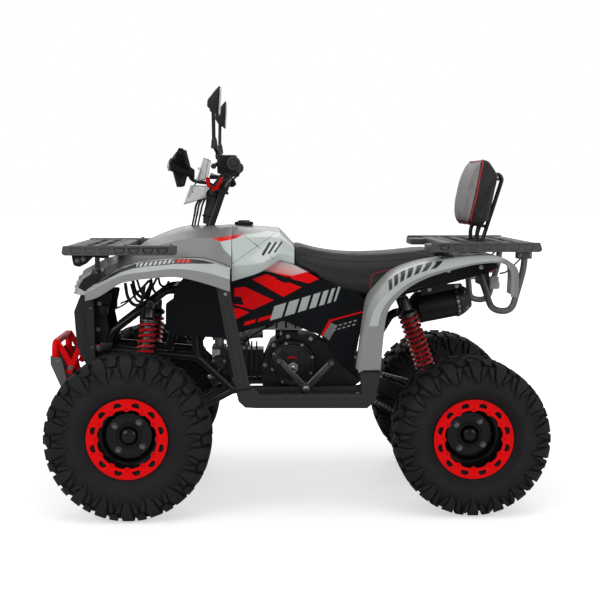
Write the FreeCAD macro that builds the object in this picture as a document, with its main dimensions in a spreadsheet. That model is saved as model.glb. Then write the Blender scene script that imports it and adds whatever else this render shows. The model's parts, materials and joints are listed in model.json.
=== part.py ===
import FreeCAD, Part
import math
import os
from FreeCAD import Vector, Placement, Rotation

# Quad bike with a pillion backrest. Millimetres. X runs rearward, Y to the
# rider's right, Z up. The origin is on the ground, midway between the ends.

doc = FreeCAD.newDocument("quad_bike")
dims = doc.addObject("Spreadsheet::Sheet", "dims")

SIZES = [
    # axles and steering
    ("front_axle_x", -485, "front axle, ahead of the origin"),
    ("rear_axle_x", 515, "rear axle, behind the origin"),
    ("kingpin_y", 270, "kingpin, from the centre plane"),
    ("ball_rise", 70.5, "upper ball joint above the axle"),
    ("ball_drop", 51.5, "lower ball joint below the axle"),
    ("ball_gap", 0.3, "knuckle post to a ball housing"),
    ("steer_arm_reach", 60, "ball joint behind the kingpin"),
    ("steer_arm_offset", 14, "ball joint outboard of the kingpin"),
    ("tie_rod_rise", 39.5, "outer tie rod ball above the axle"),
    ("tie_rod_radius", 6, "tie rod"),
    ("tie_eye_radius", 11, "tie rod eye"),
    ("tie_eye_height", 12, "tie rod eye"),
    ("tie_pin_radius", 4, "pin through a tie rod eye"),
    ("open_pin_gap", 2.2, "radial play at the inner tie rod eyes"),
    ("column_foot_x", -262, "steering column where it leaves the nose"),
    ("column_foot_z", 836, "steering column where it leaves the nose"),
    ("column_tilt", 19, "column lean, degrees from upright"),
    ("column_radius", 14, "steering column tube"),
    ("pitman_z", 290, "column height at the pitman arm"),
    # wheels
    ("front_tyre_radius", 241.5, "19 inch tyre, out to the lugs"),
    ("front_tyre_width", 178, "7 inch tyre"),
    ("front_wheel_y", 388, "front wheel centre plane"),
    ("rear_tyre_radius", 229, "18 inch tyre, out to the lugs"),
    ("rear_tyre_width", 240, "9.5 inch tyre"),
    ("rear_wheel_y", 334, "rear wheel centre plane"),
    ("lug_height", 13, "tread lug"),
    ("bead_radius", 92, "tyre bead seat"),
    ("bead_share", 0.66, "bead, as a share of the tyre's half width"),
    ("ring_seat_share", 0.69, "sidewall under the ring, as a share of the half width"),
    ("rim_wall", 4, "rim barrel"),
    ("ring_outer_radius", 117, "beadlock ring"),
    ("ring_inner_radius", 80, "beadlock ring"),
    ("ring_thick", 6, "beadlock ring"),
    ("hub_radius", 30, "hub drum"),
    ("wheel_face", 7, "wheel bolting face, outboard of its centre plane"),
    ("spindle_reach", 14, "spindle end, outboard of the bolting face"),
    ("axle_radius", 14, "rear axle shaft"),
    # frame
    ("tube_radius", 12.5, "main frame tube"),
    ("rail_y", 95, "frame rails, from the centre plane"),
    ("arm_tube_radius", 10, "suspension arm tube"),
    ("arm_pivot_y", 118, "arm pivots, from the centre plane"),
    ("floor_rail_z", 327, "lower frame rail"),
    ("belly_rail_z", 215, "front end of the lower frame rail"),
    ("swing_pivot_x", 276, "swingarm pivot"),
    ("swing_pivot_z", 338, "swingarm pivot"),
    ("swing_half_width", 62, "swingarm beams, from the centre plane"),
    ("swing_beam_wide", 22, "swingarm beam"),
    ("swing_beam_tall", 44, "swingarm beam"),
    # shock absorbers
    ("spring_radius", 27, "spring, outside"),
    ("spring_inner_radius", 19, "spring, inside"),
    ("damper_radius", 15, "damper body"),
    ("rod_radius", 6, "damper rod"),
    ("shock_eye_radius", 12, "damper eye"),
    # drive
    ("sprocket_teeth", 36, "rear sprocket"),
    ("chain_pitch", 12.7, "drive chain"),
    ("sprocket_y", -40, "chain line"),
    ("chain_height", 11, "chain side plate"),
    ("chain_width", 14, "chain"),
    # bodywork
    ("skin", 4, "moulded panel thickness"),
    ("seam", 0.8, "gap between two panels"),
    ("rack_half_width", 307, "racks, from the centre plane"),
    ("rack_bar", 22, "rack bar height"),
    ("grip_y", 400, "outer end of a grip"),
    ("grip_radius", 17, "rubber grip"),
    ("bar_radius", 11, "handlebar tube"),
    ("backrest_half_width", 140, "backrest pad"),
]

for row, (alias, value, note) in enumerate(SIZES, start=1):
    dims.set(f"A{row}", str(value))
    dims.setAlias(f"A{row}", alias)
    dims.set(f"B{row}", note)
doc.recompute()

PARTS = []


def size(alias):
    return float(dims.get(alias))


def export(label, obj):
    obj.Label = label
    PARTS.append(obj)
    return obj


def computed(name, shape):
    obj = doc.addObject("Part::Feature", name)
    obj.Shape = shape
    return obj


def rod(name, start, end, radius):
    """Round bar from start to end; its radius is bound to the sheet."""
    bar = doc.addObject("Part::Cylinder", name)
    bar.setExpression("Radius", f"dims.{radius}")
    bar.Height = (end - start).Length
    bar.Placement = Placement(start, Rotation(Vector(0, 0, 1), end - start))
    return bar


def block(name, low, high):
    box = doc.addObject("Part::Box", name)
    box.Length, box.Width, box.Height = high.x - low.x, high.y - low.y, high.z - low.z
    box.Placement = Placement(low, Rotation())
    return box


def bent_wire(points, bend):
    """Straight runs through points, joined by tangent arcs of radius bend."""
    edges, start = [], points[0]
    for before, corner, after in zip(points, points[1:], points[2:]):
        u, v = (before - corner).normalize(), (after - corner).normalize()
        half = u.getAngle(v) / 2
        reach = bend / math.tan(half)
        middle = (u + v).normalize()
        centre = corner + middle * (bend / math.sin(half))
        a, b = corner + u * reach, corner + v * reach
        if (a - start).Length > 1e-6:
            edges.append(Part.LineSegment(start, a).toShape())
        edges.append(Part.Arc(a, centre - middle * bend, b).toShape())
        start = b
    edges.append(Part.LineSegment(start, points[-1]).toShape())
    return Part.Wire(edges)


def pipe(name, points, radius, bend):
    """Round tube swept along a bent path; its radius is bound to the sheet."""
    path = computed(name + "_path", bent_wire(points, bend))
    ring = doc.addObject("Part::Circle", name + "_ring")
    ring.setExpression("Radius", f"dims.{radius}")
    ring.Placement = Placement(points[0], Rotation(Vector(0, 0, 1), points[1] - points[0]))
    sweep = doc.addObject("Part::Sweep", name)
    sweep.Sections = [ring]
    sweep.Spine = (path, [f"Edge{i + 1}" for i in range(len(path.Shape.Edges))])
    sweep.Solid = True
    sweep.Frenet = False
    return sweep


def fused(name, pieces):
    union = doc.addObject("Part::MultiFuse", name)
    union.Shapes = pieces
    union.Refine = True
    return union


def cut(name, base, tool):
    difference = doc.addObject("Part::Cut", name)
    difference.Base, difference.Tool = base, tool
    return difference


def mirrored(name, source):
    twin = doc.addObject("Part::Mirroring", name)
    twin.Source = source
    twin.Normal = Vector(0, 1, 0)
    return twin


def both_sides(name, left):
    pair = doc.addObject("Part::Compound", name)
    pair.Links = [left, mirrored(name + "_right", left)]
    return pair


def side_plate(name, outline, thick, y):
    """Flat plate from an outline of (x, z) points, its near face at y."""
    body = doc.addObject("PartDesign::Body", name)
    sketch = body.newObject("Sketcher::SketchObject", name + "_sketch")
    plane = [f for f in body.Origin.OriginFeatures if f.Role == "XZ_Plane"][0]
    sketch.AttachmentSupport = (plane, "")
    sketch.MapMode = "FlatFace"
    count = len(outline)
    for i in range(count):
        (x0, z0), (x1, z1) = outline[i], outline[(i + 1) % count]
        sketch.addGeometry(Part.LineSegment(Vector(x0, z0, 0), Vector(x1, z1, 0)))
    pad = body.newObject("PartDesign::Pad", name + "_pad")
    pad.Profile = sketch
    if isinstance(thick, str):
        pad.setExpression("Length", thick)
    else:
        pad.Length = thick
    pad.Reversed = True
    body.Placement = Placement(Vector(0, y, 0), Rotation())
    return body


def closed_wire(points):
    return Part.makePolygon(list(points) + [points[0]])


def ruled_solid(sections):
    """Solid through closed polygons with equal numbers of corners."""
    return Part.makeLoft([closed_wire(s) for s in sections], True, True)


def faceted_turning(profile, sides):
    """Turn a closed (radius, y) profile about Y in flat facets; it may touch the axis."""
    faces = []
    step = 2 * math.pi / sides
    for k in range(sides):
        a, b = k * step, (k + 1) * step
        for (r0, y0), (r1, y1) in zip(profile, profile[1:] + profile[:1]):
            corners = [spun(r0, y0, a), spun(r1, y1, a), spun(r1, y1, b), spun(r0, y0, b)]
            corners = [c for i, c in enumerate(corners) if (c - corners[i - 1]).Length > 1e-6]
            if len(corners) > 2:
                faces.append(Part.Face(closed_wire(corners)))
    return solid_of(faces)


def spun(radius, y, angle):
    return Vector(radius * math.cos(angle), y, radius * math.sin(angle))


def solid_of(faces):
    solid = Part.makeSolid(Part.makeShell(faces))
    if solid.Volume < 0:
        solid.reverse()
    return solid


# Steering geometry

front_x, rear_x = size("front_axle_x"), size("rear_axle_x")
front_r, rear_r = size("front_tyre_radius"), size("rear_tyre_radius")
tilt = math.radians(size("column_tilt"))
column_foot = Vector(size("column_foot_x"), 0, size("column_foot_z"))
column_up = Vector(math.sin(tilt), 0, math.cos(tilt))
column_back = Vector(math.cos(tilt), 0, -math.sin(tilt))


def on_column(height):
    """Point of the column axis at a height."""
    return column_foot + column_up * ((height - column_foot.z) / column_up.z)


pitman_point = on_column(size("pitman_z"))


# Wheels

def tyre_solid(radius, width):
    """Balloon tyre in flat facets, its tread lugs alternating left and right."""
    lug_count, lug, bead = 36, size("lug_height"), size("bead_radius")
    half, crown = width / 2, radius - lug
    wall = crown - bead
    left = [(bead, -size("bead_share") * half), (size("ring_outer_radius") + 2, -size("ring_seat_share") * half),
            (bead + 0.5 * wall, -half), (crown - 0.1 * wall, -0.93 * half), (crown, -0.5 * half)]
    right = [(r, -y) for r, y in reversed(left)]
    foot, centre = left[3], (crown, 0)
    raised = [foot, (crown - 0.1 * wall + 0.75 * lug, -0.97 * half), (radius - 2, -0.55 * half),
              (radius, -0.07 * half), centre]
    lug_left = left[:3] + raised + right
    lug_right = [(r, -y) for r, y in reversed(lug_left)]
    wall_left = raised + [left[4]]
    wall_right = [(r, -y) for r, y in wall_left]
    faces, step = [], 2 * math.pi / lug_count
    for k in range(lug_count):
        a, b = k * step, (k + 1) * step
        line = lug_right if k % 2 else lug_left
        for (r0, y0), (r1, y1) in zip(line, line[1:] + line[:1]):
            corners = [spun(r0, y0, a), spun(r1, y1, a), spun(r1, y1, b), spun(r0, y0, b)]
            faces.append(Part.Face(closed_wire(corners)))
        for outline in (wall_left, wall_right):
            faces.append(Part.Face(closed_wire([spun(r, y, a) for r, y in outline])))
    return solid_of(faces)


def rim_solid(width):
    """Pressed wheel: a barrel, a dished centre and a domed hub cap, outboard at -y."""
    bead, wall, hub = size("bead_radius") - 0.8, size("rim_wall"), size("hub_radius")
    half, seat, face = size("bead_share") * width / 2, size("ring_seat_share") * width / 2, size("wheel_face")
    inner, cap = bead - wall, hub - 6
    outside = [(0, -face - 25), (cap - 10, -face - 24), (cap, -face - 17.5), (cap + 4, -face - 6),
               (hub + 3, -face - 5), (hub + 36, -face - 5), (hub + 41, 1), (inner, 1), (inner, -seat)]
    inside = [(bead, -seat), (bead, half), (inner, half), (inner, 6), (hub + 38, 6), (hub + 33, -face),
              (cap, -face), (cap - 3, -face - 15), (cap - 11, -face - 20.5), (0, -face - 21.5)]
    return faceted_turning(outside + inside, 32)


def ring_solid(y):
    """Flat beadlock ring with twelve D-shaped windows, its outer face at y."""
    outer, inner, thick = size("ring_outer_radius"), size("ring_inner_radius"), size("ring_thick")
    windows = 12
    edge = [spun(outer, y, 2 * math.pi * k / 48) for k in range(48)]
    bore = [spun(inner + (0 if k % 4 < 2 else 5.5), y, 2 * math.pi * (k - 0.5) / 48) for k in range(48)]
    plate = Part.Face(closed_wire(edge))
    holes = [Part.Face(closed_wire(bore))]
    middle = (outer + inner) / 2 + 2.5
    for k in range(windows):
        a = 2 * math.pi * (k + 0.5) / windows
        shape = [(-7, -0.115), (1, -0.115), (7, -0.06), (7, 0.06), (1, 0.115), (-7, 0.115)]
        holes.append(Part.Face(closed_wire([spun(middle + dr, y, a + da) for dr, da in shape])))
    for hole in holes:
        plate = plate.cut(hole)
    return plate.extrude(Vector(0, thick, 0))


def moved(shape, x, y, z):
    copy = shape.copy()
    copy.translate(Vector(x, y, z))
    return copy


def flipped(shape):
    """Mirror image across the centre plane."""
    return shape.mirror(Vector(0, 0, 0), Vector(0, 1, 0))


def wheel(x, y, radius, width):
    """Tyre, rim and ring solids of the left wheel whose centre plane is at -y."""
    tyre = moved(tyre_solid(radius, width), x, -y, radius)
    rim = moved(rim_solid(width), x, -y, radius)
    ring_y = -y - size("ring_seat_share") * width / 2 - size("ring_thick") - 0.3
    return {"tyre": tyre, "rim": rim, "ring": moved(ring_solid(0), x, ring_y, radius)}


def wheel_face(y):
    """Distance from the centre plane of the bolting face of a wheel at y."""
    return y + size("wheel_face")


front_wheel = wheel(front_x, size("front_wheel_y"), front_r, size("front_tyre_width"))
rear_wheel = wheel(rear_x, size("rear_wheel_y"), rear_r, size("rear_tyre_width"))
for piece, solid in front_wheel.items():
    export(f"front_{piece}_left", computed(f"front_{piece}_left", solid))
    export(f"front_{piece}_right", computed(f"front_{piece}_right", flipped(solid)))
for piece, solid in rear_wheel.items():
    export(f"rear_{piece}s", computed(f"rear_{piece}s", Part.makeCompound([solid, flipped(solid)])))


# Rear axle: shaft, hubs, sprocket and brake disc turn as one

def cylinder_y(radius, low, high, x, z):
    return Part.makeCylinder(radius, high - low, Vector(x, low, z), Vector(0, 1, 0))


def sprocket_solid(teeth, pitch, thick, y):
    """Toothed disc about Y with lightening windows."""
    pitch_r = pitch / 2 / math.sin(math.pi / teeth)
    root, tip = pitch_r - 4.4, pitch_r + 3.2
    corners = []
    for k in range(teeth):
        mid = 2 * math.pi * (k + 0.5) / teeth
        gap = 2 * math.pi / teeth
        corners += [spun(root, y, mid - 0.36 * gap), spun(tip, y, mid - 0.08 * gap), spun(tip, y, mid + 0.08 * gap),
                    spun(root, y, mid + 0.36 * gap)]
    disc = Part.Face(closed_wire(corners))
    for k in range(6):
        a = k * math.pi / 3
        window = [spun(r, y, a + d) for r, d in ((34, -0.3), (56, -0.34), (60, 0), (56, 0.34), (34, 0.3))]
        disc = disc.cut(Part.Face(closed_wire(window)))
    return disc.extrude(Vector(0, thick, 0))


def rear_axle_solid():
    axle_z = rear_r
    rim_face = wheel_face(size("rear_wheel_y"))
    end = rim_face + size("spindle_reach")
    shaft = cylinder_y(size("axle_radius"), -end, end, rear_x, axle_z)
    solid = shaft
    for side in (-1, 1):
        low, high = sorted((side * (rim_face - 62), side * (rim_face - 0.3)))
        solid = solid.fuse(cylinder_y(size("hub_radius") - 4, low, high, rear_x, axle_z))
        low, high = sorted((side * (rim_face - 16), side * (rim_face - 0.3)))
        solid = solid.fuse(cylinder_y(size("hub_radius") + 15, low, high, rear_x, axle_z))
    chain_y = size("sprocket_y")
    gear = sprocket_solid(int(size("sprocket_teeth")), size("chain_pitch"), 5, chain_y - 2.5)
    solid = solid.fuse(moved(gear, rear_x, 0, axle_z))
    solid = solid.fuse(cylinder_y(30, chain_y - 10, chain_y - 2, rear_x, axle_z))
    solid = solid.fuse(cylinder_y(90, 96, 100, rear_x, axle_z))
    solid = solid.fuse(cylinder_y(30, 88, 108, rear_x, axle_z))
    return solid


export("rear_axle", computed("rear_axle", rear_axle_solid()))


# Steering: column, pitman arm, knuckles and tie rods

def vertical(radius, low, high, x, y):
    return Part.makeCylinder(radius, high - low, Vector(x, y, low))


reach, offset = size("steer_arm_reach"), size("steer_arm_offset")
kingpin_y, rod_z = size("kingpin_y"), front_r + size("tie_rod_rise")
upper_ball_z, lower_ball_z = front_r + size("ball_rise"), front_r - size("ball_drop")
post_foot, post_top = lower_ball_z + 16, upper_ball_z - 14
ball = Vector(front_x + reach, -kingpin_y - offset, rod_z)
pitman_pin = pitman_point + column_back * reach + Vector(0, -offset, 0)
eye_h, eye_r, pin_r = size("tie_eye_height"), size("tie_eye_radius"), size("tie_pin_radius")


def column_solid():
    """Tube with the handlebar plate on top and the pitman arm at its foot."""
    foot, top = pitman_point - column_up * 26, on_column(942)
    solid = Part.makeCylinder(size("column_radius"), (top - foot).Length, foot, column_up)
    plate_low = pitman_point + column_up * (eye_h / 2 + 3)
    outline = [(-20, -20), (-20, 20), (30, 24), (reach + 14, offset + 12), (reach + 14, -offset - 12), (30, -24)]
    corners = [plate_low + column_back * a + Vector(0, b, 0) for a, b in outline]
    solid = solid.fuse(Part.Face(closed_wire(corners)).extrude(column_up * 8))
    for side in (-1, 1):
        base = Vector(pitman_pin.x, side * offset, pitman_pin.z) - column_up * (eye_h / 2 + 4)
        solid = solid.fuse(Part.makeCylinder(pin_r, eye_h + 9, base, column_up))
        solid = solid.fuse(Part.makeCylinder(pin_r + 3, 4, base - column_up * 4, column_up))
    head = [(-22, -38), (-22, 38), (22, 38), (22, -38)]
    corners = [top + column_back * a + Vector(0, b, 0) for a, b in head]
    return solid.fuse(Part.Face(closed_wire(corners)).extrude(column_up * 8))


export("steering_column", computed("steering_column", column_solid()))


def knuckle_solid():
    """Left knuckle: upright post, spindle with hub, steering arm and brake disc."""
    post = vertical(17, post_foot, post_top, front_x, -kingpin_y)
    face = wheel_face(size("front_wheel_y"))
    solid = post.fuse(cylinder_y(16, -face - size("spindle_reach"), -kingpin_y, front_x, front_r))
    solid = solid.fuse(cylinder_y(24, -kingpin_y - 34, -kingpin_y - 10, front_x, front_r))
    arm_z = rod_z - eye_h / 2 - 3
    outline = [(front_x - 12, -kingpin_y - 14), (front_x - 12, -kingpin_y + 14), (front_x + 10, -kingpin_y + 14),
               (ball.x + 12, ball.y + 12), (ball.x + 12, ball.y - 12), (ball.x - 8, ball.y - 12)]
    plate = Part.Face(closed_wire([Vector(x, y, arm_z - 8) for x, y in outline])).extrude(Vector(0, 0, 8))
    solid = solid.fuse(plate)
    return solid.fuse(vertical(pin_r, arm_z - 2, rod_z + eye_h / 2 + 6, ball.x, ball.y))


def hub_solid():
    """Drum that turns on the left spindle and carries the wheel."""
    face = wheel_face(size("front_wheel_y"))
    hub = size("hub_radius")
    inner = kingpin_y + 42
    solid = cylinder_y(hub - 4, -face + 0.3, -inner, front_x, front_r)
    solid = solid.fuse(cylinder_y(hub + 15, -face + 0.3, -face + 9, front_x, front_r))
    solid = solid.fuse(cylinder_y(64, -inner - 8, -inner - 4, front_x, front_r))
    return solid.cut(cylinder_y(16.05, -face, -inner + 1, front_x, front_r))


export("front_knuckle_left", computed("front_knuckle_left", knuckle_solid()))
export("front_knuckle_right", computed("front_knuckle_right", flipped(knuckle_solid())))
export("front_hub_left", computed("front_hub_left", hub_solid()))
export("front_hub_right", computed("front_hub_right", flipped(hub_solid())))


def tie_rod_solid():
    """Left tie rod; its outer eye fits the knuckle pin, its inner eye has play."""
    line = pitman_pin - ball
    along = Vector(line).normalize()
    outer = vertical(eye_r, ball.z - eye_h / 2, ball.z + eye_h / 2, ball.x, ball.y)
    inner = Part.makeCylinder(eye_r, eye_h - 4, pitman_pin - column_up * (eye_h / 2 - 2), column_up)
    shaft = Part.makeCylinder(size("tie_rod_radius"), line.Length - 16, ball + along * 8, along)
    solid = shaft.fuse([outer, inner])
    solid = solid.cut(vertical(pin_r + 0.05, ball.z - 20, ball.z + 20, ball.x, ball.y))
    play = pin_r + size("open_pin_gap")
    return solid.cut(Part.makeCylinder(play, 40, pitman_pin - column_up * 20, column_up))


export("tie_rod_left", computed("tie_rod_left", tie_rod_solid()))
export("tie_rod_right", computed("tie_rod_right", flipped(tie_rod_solid())))


# Frame

rail_y = size("rail_y")
floor_z, belly_z = size("floor_rail_z"), size("belly_rail_z")
pivot_x, pivot_z = size("swing_pivot_x"), size("swing_pivot_z")
tube_r = size("tube_radius")


def rail(points, y):
    return [Vector(x, y, z) for x, z in points]


frame_lower = [(-600, belly_z), (-400, belly_z), (-190, floor_z), (238, floor_z), (246, 400), (232, 610), (330, 632),
               (602, 701)]
frame_upper = [(-600, belly_z), (-572, 505), (-395, 640), (-100, 655), (232, 610)]
frame_pieces = [
    pipe("lower_rail", rail(frame_lower, -rail_y), "tube_radius", 45),
    pipe("upper_rail", rail(frame_upper, -rail_y), "tube_radius", 40),
    rod("tower_tube", Vector(-470, -rail_y, belly_z), Vector(-466, -rail_y, 586), "tube_radius"),
    rod("tower_brace", Vector(-572, -rail_y, 455), Vector(-300, -rail_y, 430), "tube_radius"),
    rod("front_down_tube", Vector(-300, -rail_y, 430), Vector(-190, -rail_y, floor_z), "tube_radius"),
    rod("front_post", Vector(-300, -rail_y, 430), Vector(-318, -rail_y, 645), "tube_radius"),
]
cross_points = {"nose": (-600, belly_z), "front": (-560, 514), "mid": (-190, floor_z), "rear": (238, floor_z),
                "seat": (232, 612), "tail": (586, 697), "arm": (-400, belly_z)}
PIVOT_PLATE = [(240, pivot_z - 22), (pivot_x + 10, pivot_z - 20), (pivot_x + 20, pivot_z), (pivot_x + 10, pivot_z + 20),
               (240, pivot_z + 32)]
frame_pieces.append(side_plate("pivot_plate", PIVOT_PLATE, 10, -84))
left_side = export("frame_left", fused("frame_left", frame_pieces))
right_side = export("frame_right", mirrored("frame_right", left_side))

cross_tubes = [rod(f"cross_{name}", Vector(x, -rail_y, z), Vector(x, rail_y, z), "tube_radius")
               for name, (x, z) in cross_points.items()]
cross_tubes.append(rod("cross_shock", Vector(-440, -134, 600), Vector(-440, 134, 600), "tube_radius"))
cross_tubes.append(rod("shock_bolt", Vector(-440, -170, 600), Vector(-440, 170, 600), "rod_radius"))
cross_tubes.append(rod("cross_damper", Vector(344, -48, 624), Vector(344, 48, 624), "tube_radius"))
cross_tubes.append(rod("damper_bolt", Vector(344, -90, 624), Vector(344, 90, 624), "rod_radius"))


def bearing(height, web_x):
    """Collar round the column and its cross bar, bored to the column."""
    centre = on_column(height)
    collar = Part.makeCylinder(size("column_radius") + 8, 34, centre - column_up * 17, column_up)
    bar = Part.makeBox(24, 2 * rail_y, 24, Vector(web_x - 12, -rail_y, height - 12))
    web = Part.makeBox(abs(centre.x - web_x), 30, 20, Vector(min(centre.x, web_x), -15, height - 10))
    return collar.fuse([bar, web])


bearings = [computed("upper_bearing", bearing(640, -362)), computed("lower_bearing", bearing(352, -469))]
pivot_bolt = computed("pivot_bolt", cylinder_y(8.95, -84, 84, pivot_x, pivot_z))
cross_sum = fused("cross_sum", cross_tubes + bearings + [pivot_bolt])
side_pair = doc.addObject("Part::Compound", "side_pair")
side_pair.Links = [left_side, right_side]
column_bore = doc.addObject("Part::Cylinder", "column_bore")
column_bore.setExpression("Radius", "dims.column_radius + 0.06")
column_bore.Height = 700
column_bore.Placement = Placement(pitman_point, Rotation(Vector(0, 0, 1), column_up))
export("frame_cross", cut("frame_cross", cut("cross_fitted", cross_sum, side_pair), column_bore))


# Front suspension arms

def front_arm(name, pivot_height, legs, up):
    """Left arm: pivot tube, two legs and the ball housing over or under the knuckle."""
    y = -size("arm_pivot_y")
    base = post_top + size("ball_gap") if up else post_foot - size("ball_gap") - 26
    housing = vertical(16, base, base + 26, front_x, -kingpin_y)
    pieces = [computed(name + "_housing", housing)]
    pieces.append(rod(name + "_pivot", Vector(legs[0], y, pivot_height), Vector(legs[1], y, pivot_height), "arm_tube_radius"))
    for k, x in enumerate(legs):
        inset = 14 if k == 0 else -14
        pieces.append(rod(f"{name}_leg{k}", Vector(x + inset, y, pivot_height),
                          Vector(front_x, -kingpin_y, base + 12), "arm_tube_radius"))
    return pieces


upper_pivot_z, arm_slope = 330, (upper_ball_z - 2 - 330) / (kingpin_y - size("arm_pivot_y"))
upper_pieces = front_arm("upper_arm", upper_pivot_z, (-560, -484), True)
shock_foot_y = -206
clevis_z = upper_pivot_z + arm_slope * (-shock_foot_y - size("arm_pivot_y")) + 3
shock_foot = Vector(-466, shock_foot_y, clevis_z + 34)
clevis = Part.makeBox(48, 46, 4, Vector(shock_foot.x - 34, shock_foot.y - 23, clevis_z))
for y in (shock_foot.y - 21, shock_foot.y + 17):
    clevis = clevis.fuse(Part.makeBox(24, 4, 46, Vector(shock_foot.x - 12, y, clevis_z)))
clevis = clevis.fuse(cylinder_y(size("rod_radius"), shock_foot.y - 22, shock_foot.y + 22, shock_foot.x, shock_foot.z))
upper_pieces.append(computed("upper_clevis", clevis))
lower_pieces = front_arm("lower_arm", 215, (-560, -420), False)
upper_arm = fused("front_arm_upper", upper_pieces)
lower_arm = fused("front_arm_lower", lower_pieces)
arms = doc.addObject("Part::Compound", "arms_left")
arms.Links = [upper_arm, lower_arm]
export("front_arms", both_sides("front_arms", arms))


# Shock absorbers with coil springs

def coil_solid(radius, wire, turns, length, per_turn):
    """Coil spring about Z from 0 to length, its wire a four-sided bar."""
    rings = []
    steps = int(turns * per_turn)
    for k in range(steps + 1):
        a = 2 * math.pi * k / per_turn
        z = wire + (length - 2 * wire) * k / steps
        rings.append([Vector((radius - wire + u) * math.cos(a), (radius - wire + u) * math.sin(a), z + w)
                      for u, w in ((-wire, 0), (0, -wire), (wire, 0), (0, wire))])
    faces = [Part.Face(closed_wire(rings[0])), Part.Face(closed_wire(rings[-1]))]
    for low, high in zip(rings, rings[1:]):
        for i in range(4):
            j = (i + 1) % 4
            faces.append(Part.Face(closed_wire([low[i], low[j], high[j]])))
            faces.append(Part.Face(closed_wire([low[i], high[j], high[i]])))
    return solid_of(faces)


def shock(top, foot, spring_top, spring_length, turns, eye_width):
    """Damper with two eyes and spring seats, and the spring between them."""
    axis = Vector(foot - top).normalize()
    upper, lower = top + axis * spring_top, top + axis * (spring_top + spring_length)
    eye_r, bolt_r = size("shock_eye_radius"), size("rod_radius") + 0.05
    seat_r = size("spring_radius")
    body = Part.makeCylinder(size("damper_radius"), spring_top + spring_length * 0.6 - 6, top + axis * 6, axis)
    body = body.fuse([
        Part.makeCylinder(size("rod_radius"), (foot - top).Length, top, axis),
        Part.makeCylinder(seat_r, 6, upper - axis * 6.3, axis), Part.makeCylinder(seat_r, 6, lower + axis * 0.3, axis),
        Part.makeCylinder(size("damper_radius") - 3, (foot - lower).Length - 8, lower + axis * 2, axis),
        cylinder_y(eye_r, top.y - eye_width / 2, top.y + eye_width / 2, top.x, top.z),
        cylinder_y(eye_r, foot.y - eye_width / 2, foot.y + eye_width / 2, foot.x, foot.z)])
    body = body.cut(cylinder_y(bolt_r, top.y - 40, top.y + 40, top.x, top.z))
    body = body.cut(cylinder_y(bolt_r, foot.y - 40, foot.y + 40, foot.x, foot.z))
    spring = coil_solid(seat_r, 3.6, turns, spring_length, 10)
    spring.Placement = Placement(upper, Rotation(Vector(0, 0, 1), axis))
    return body, spring


front_shock = shock(Vector(-440, -152, 600), shock_foot, 56, 150, 6, 22)
rear_foot = Vector(447, -66, 326)
rear_shock = shock(Vector(344, -66, 624), rear_foot, 70, 190, 8.5, 22)
for kind, name in ((0, "shock_bodies"), (1, "shock_springs")):
    export(name, computed(name, Part.makeCompound([front_shock[kind], flipped(front_shock[kind]),
                                                  rear_shock[kind], flipped(rear_shock[kind])])))


# Swingarm with the axle carrier

def swingarm_solid():
    half, wide, tall = size("swing_half_width"), size("swing_beam_wide"), size("swing_beam_tall")
    start, end = Vector(pivot_x, 0, pivot_z), Vector(rear_x, 0, rear_r)
    along = Vector(end - start).normalize()
    up = Vector(-along.z, 0, along.x)
    if up.z < 0:
        up = up * -1
    solid = None
    for side in (-1, 1):
        y = side * half
        near, far = start + along * 10, end - along * 24
        corners = [near + up * tall / 2, far + up * tall / 2, far - up * tall / 2, near - up * tall / 2]
        beam = Part.Face(closed_wire([c + Vector(0, y - wide / 2, 0) for c in corners])).extrude(Vector(0, wide, 0))
        solid = beam if solid is None else solid.fuse(beam)
    solid = solid.fuse(cylinder_y(19, -half - wide / 2, half + wide / 2, pivot_x, pivot_z))
    solid = solid.fuse(cylinder_y(40, half - 20, half + wide / 2 + 6, rear_x, rear_r))
    solid = solid.fuse(cylinder_y(40, -half - wide / 2 - 6, -half + 4, rear_x, rear_r))
    bridge = start + along * 60
    corners = [bridge + up * 16, bridge + along * 30 + up * 16, bridge + along * 30 - up * 16, bridge - up * 16]
    solid = solid.fuse(Part.Face(closed_wire([c + Vector(0, -half, 0) for c in corners])).extrude(Vector(0, 2 * half, 0)))
    for side in (-1, 1):
        y = side * abs(rear_foot.y)
        solid = solid.fuse(cylinder_y(size("rod_radius"), y - 17, y + 17, rear_foot.x, rear_foot.z))
        for ear in (y - 16, y + 12):
            plate = [Vector(rear_foot.x - 16, ear, rear_foot.z + 12), Vector(rear_foot.x + 16, ear, rear_foot.z + 12),
                     Vector(rear_foot.x + 24, ear, 262), Vector(rear_foot.x - 34, ear, 262)]
            solid = solid.fuse(Part.Face(closed_wire(plate)).extrude(Vector(0, 4, 0)))
        solid = solid.fuse(Part.makeBox(50, 32, 8, Vector(rear_foot.x - 30, y - 16, 266)))
    solid = solid.cut(cylinder_y(size("axle_radius") + 0.06, -200, 200, rear_x, rear_r))
    return solid.cut(cylinder_y(9, -200, 200, pivot_x, pivot_z))


export("swingarm", computed("swingarm", swingarm_solid()))
# Chain: two side plates joined by rollers, one fixed loop round both sprockets

engine_sprocket = Vector(150, 0, 372)
engine_teeth = 15


def loop_points(offset):
    """Outline of the chain loop, offset outward from its pitch line."""
    pitch = size("chain_pitch")
    big = pitch / 2 / math.sin(math.pi / size("sprocket_teeth"))
    small = pitch / 2 / math.sin(math.pi / engine_teeth)
    centre = Vector(rear_x, 0, rear_r)
    line = engine_sprocket - centre
    heading = math.atan2(line.z, line.x)
    spread = math.acos((big - small) / line.Length)
    points = []
    for k in range(13):
        a = heading + spread + (2 * math.pi - 2 * spread) * k / 12
        points.append(centre + Vector(math.cos(a), 0, math.sin(a)) * (big + offset))
    for k in range(9):
        a = heading - spread + 2 * spread * k / 8
        points.append(engine_sprocket + Vector(math.cos(a), 0, math.sin(a)) * (small + offset))
    return points


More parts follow.
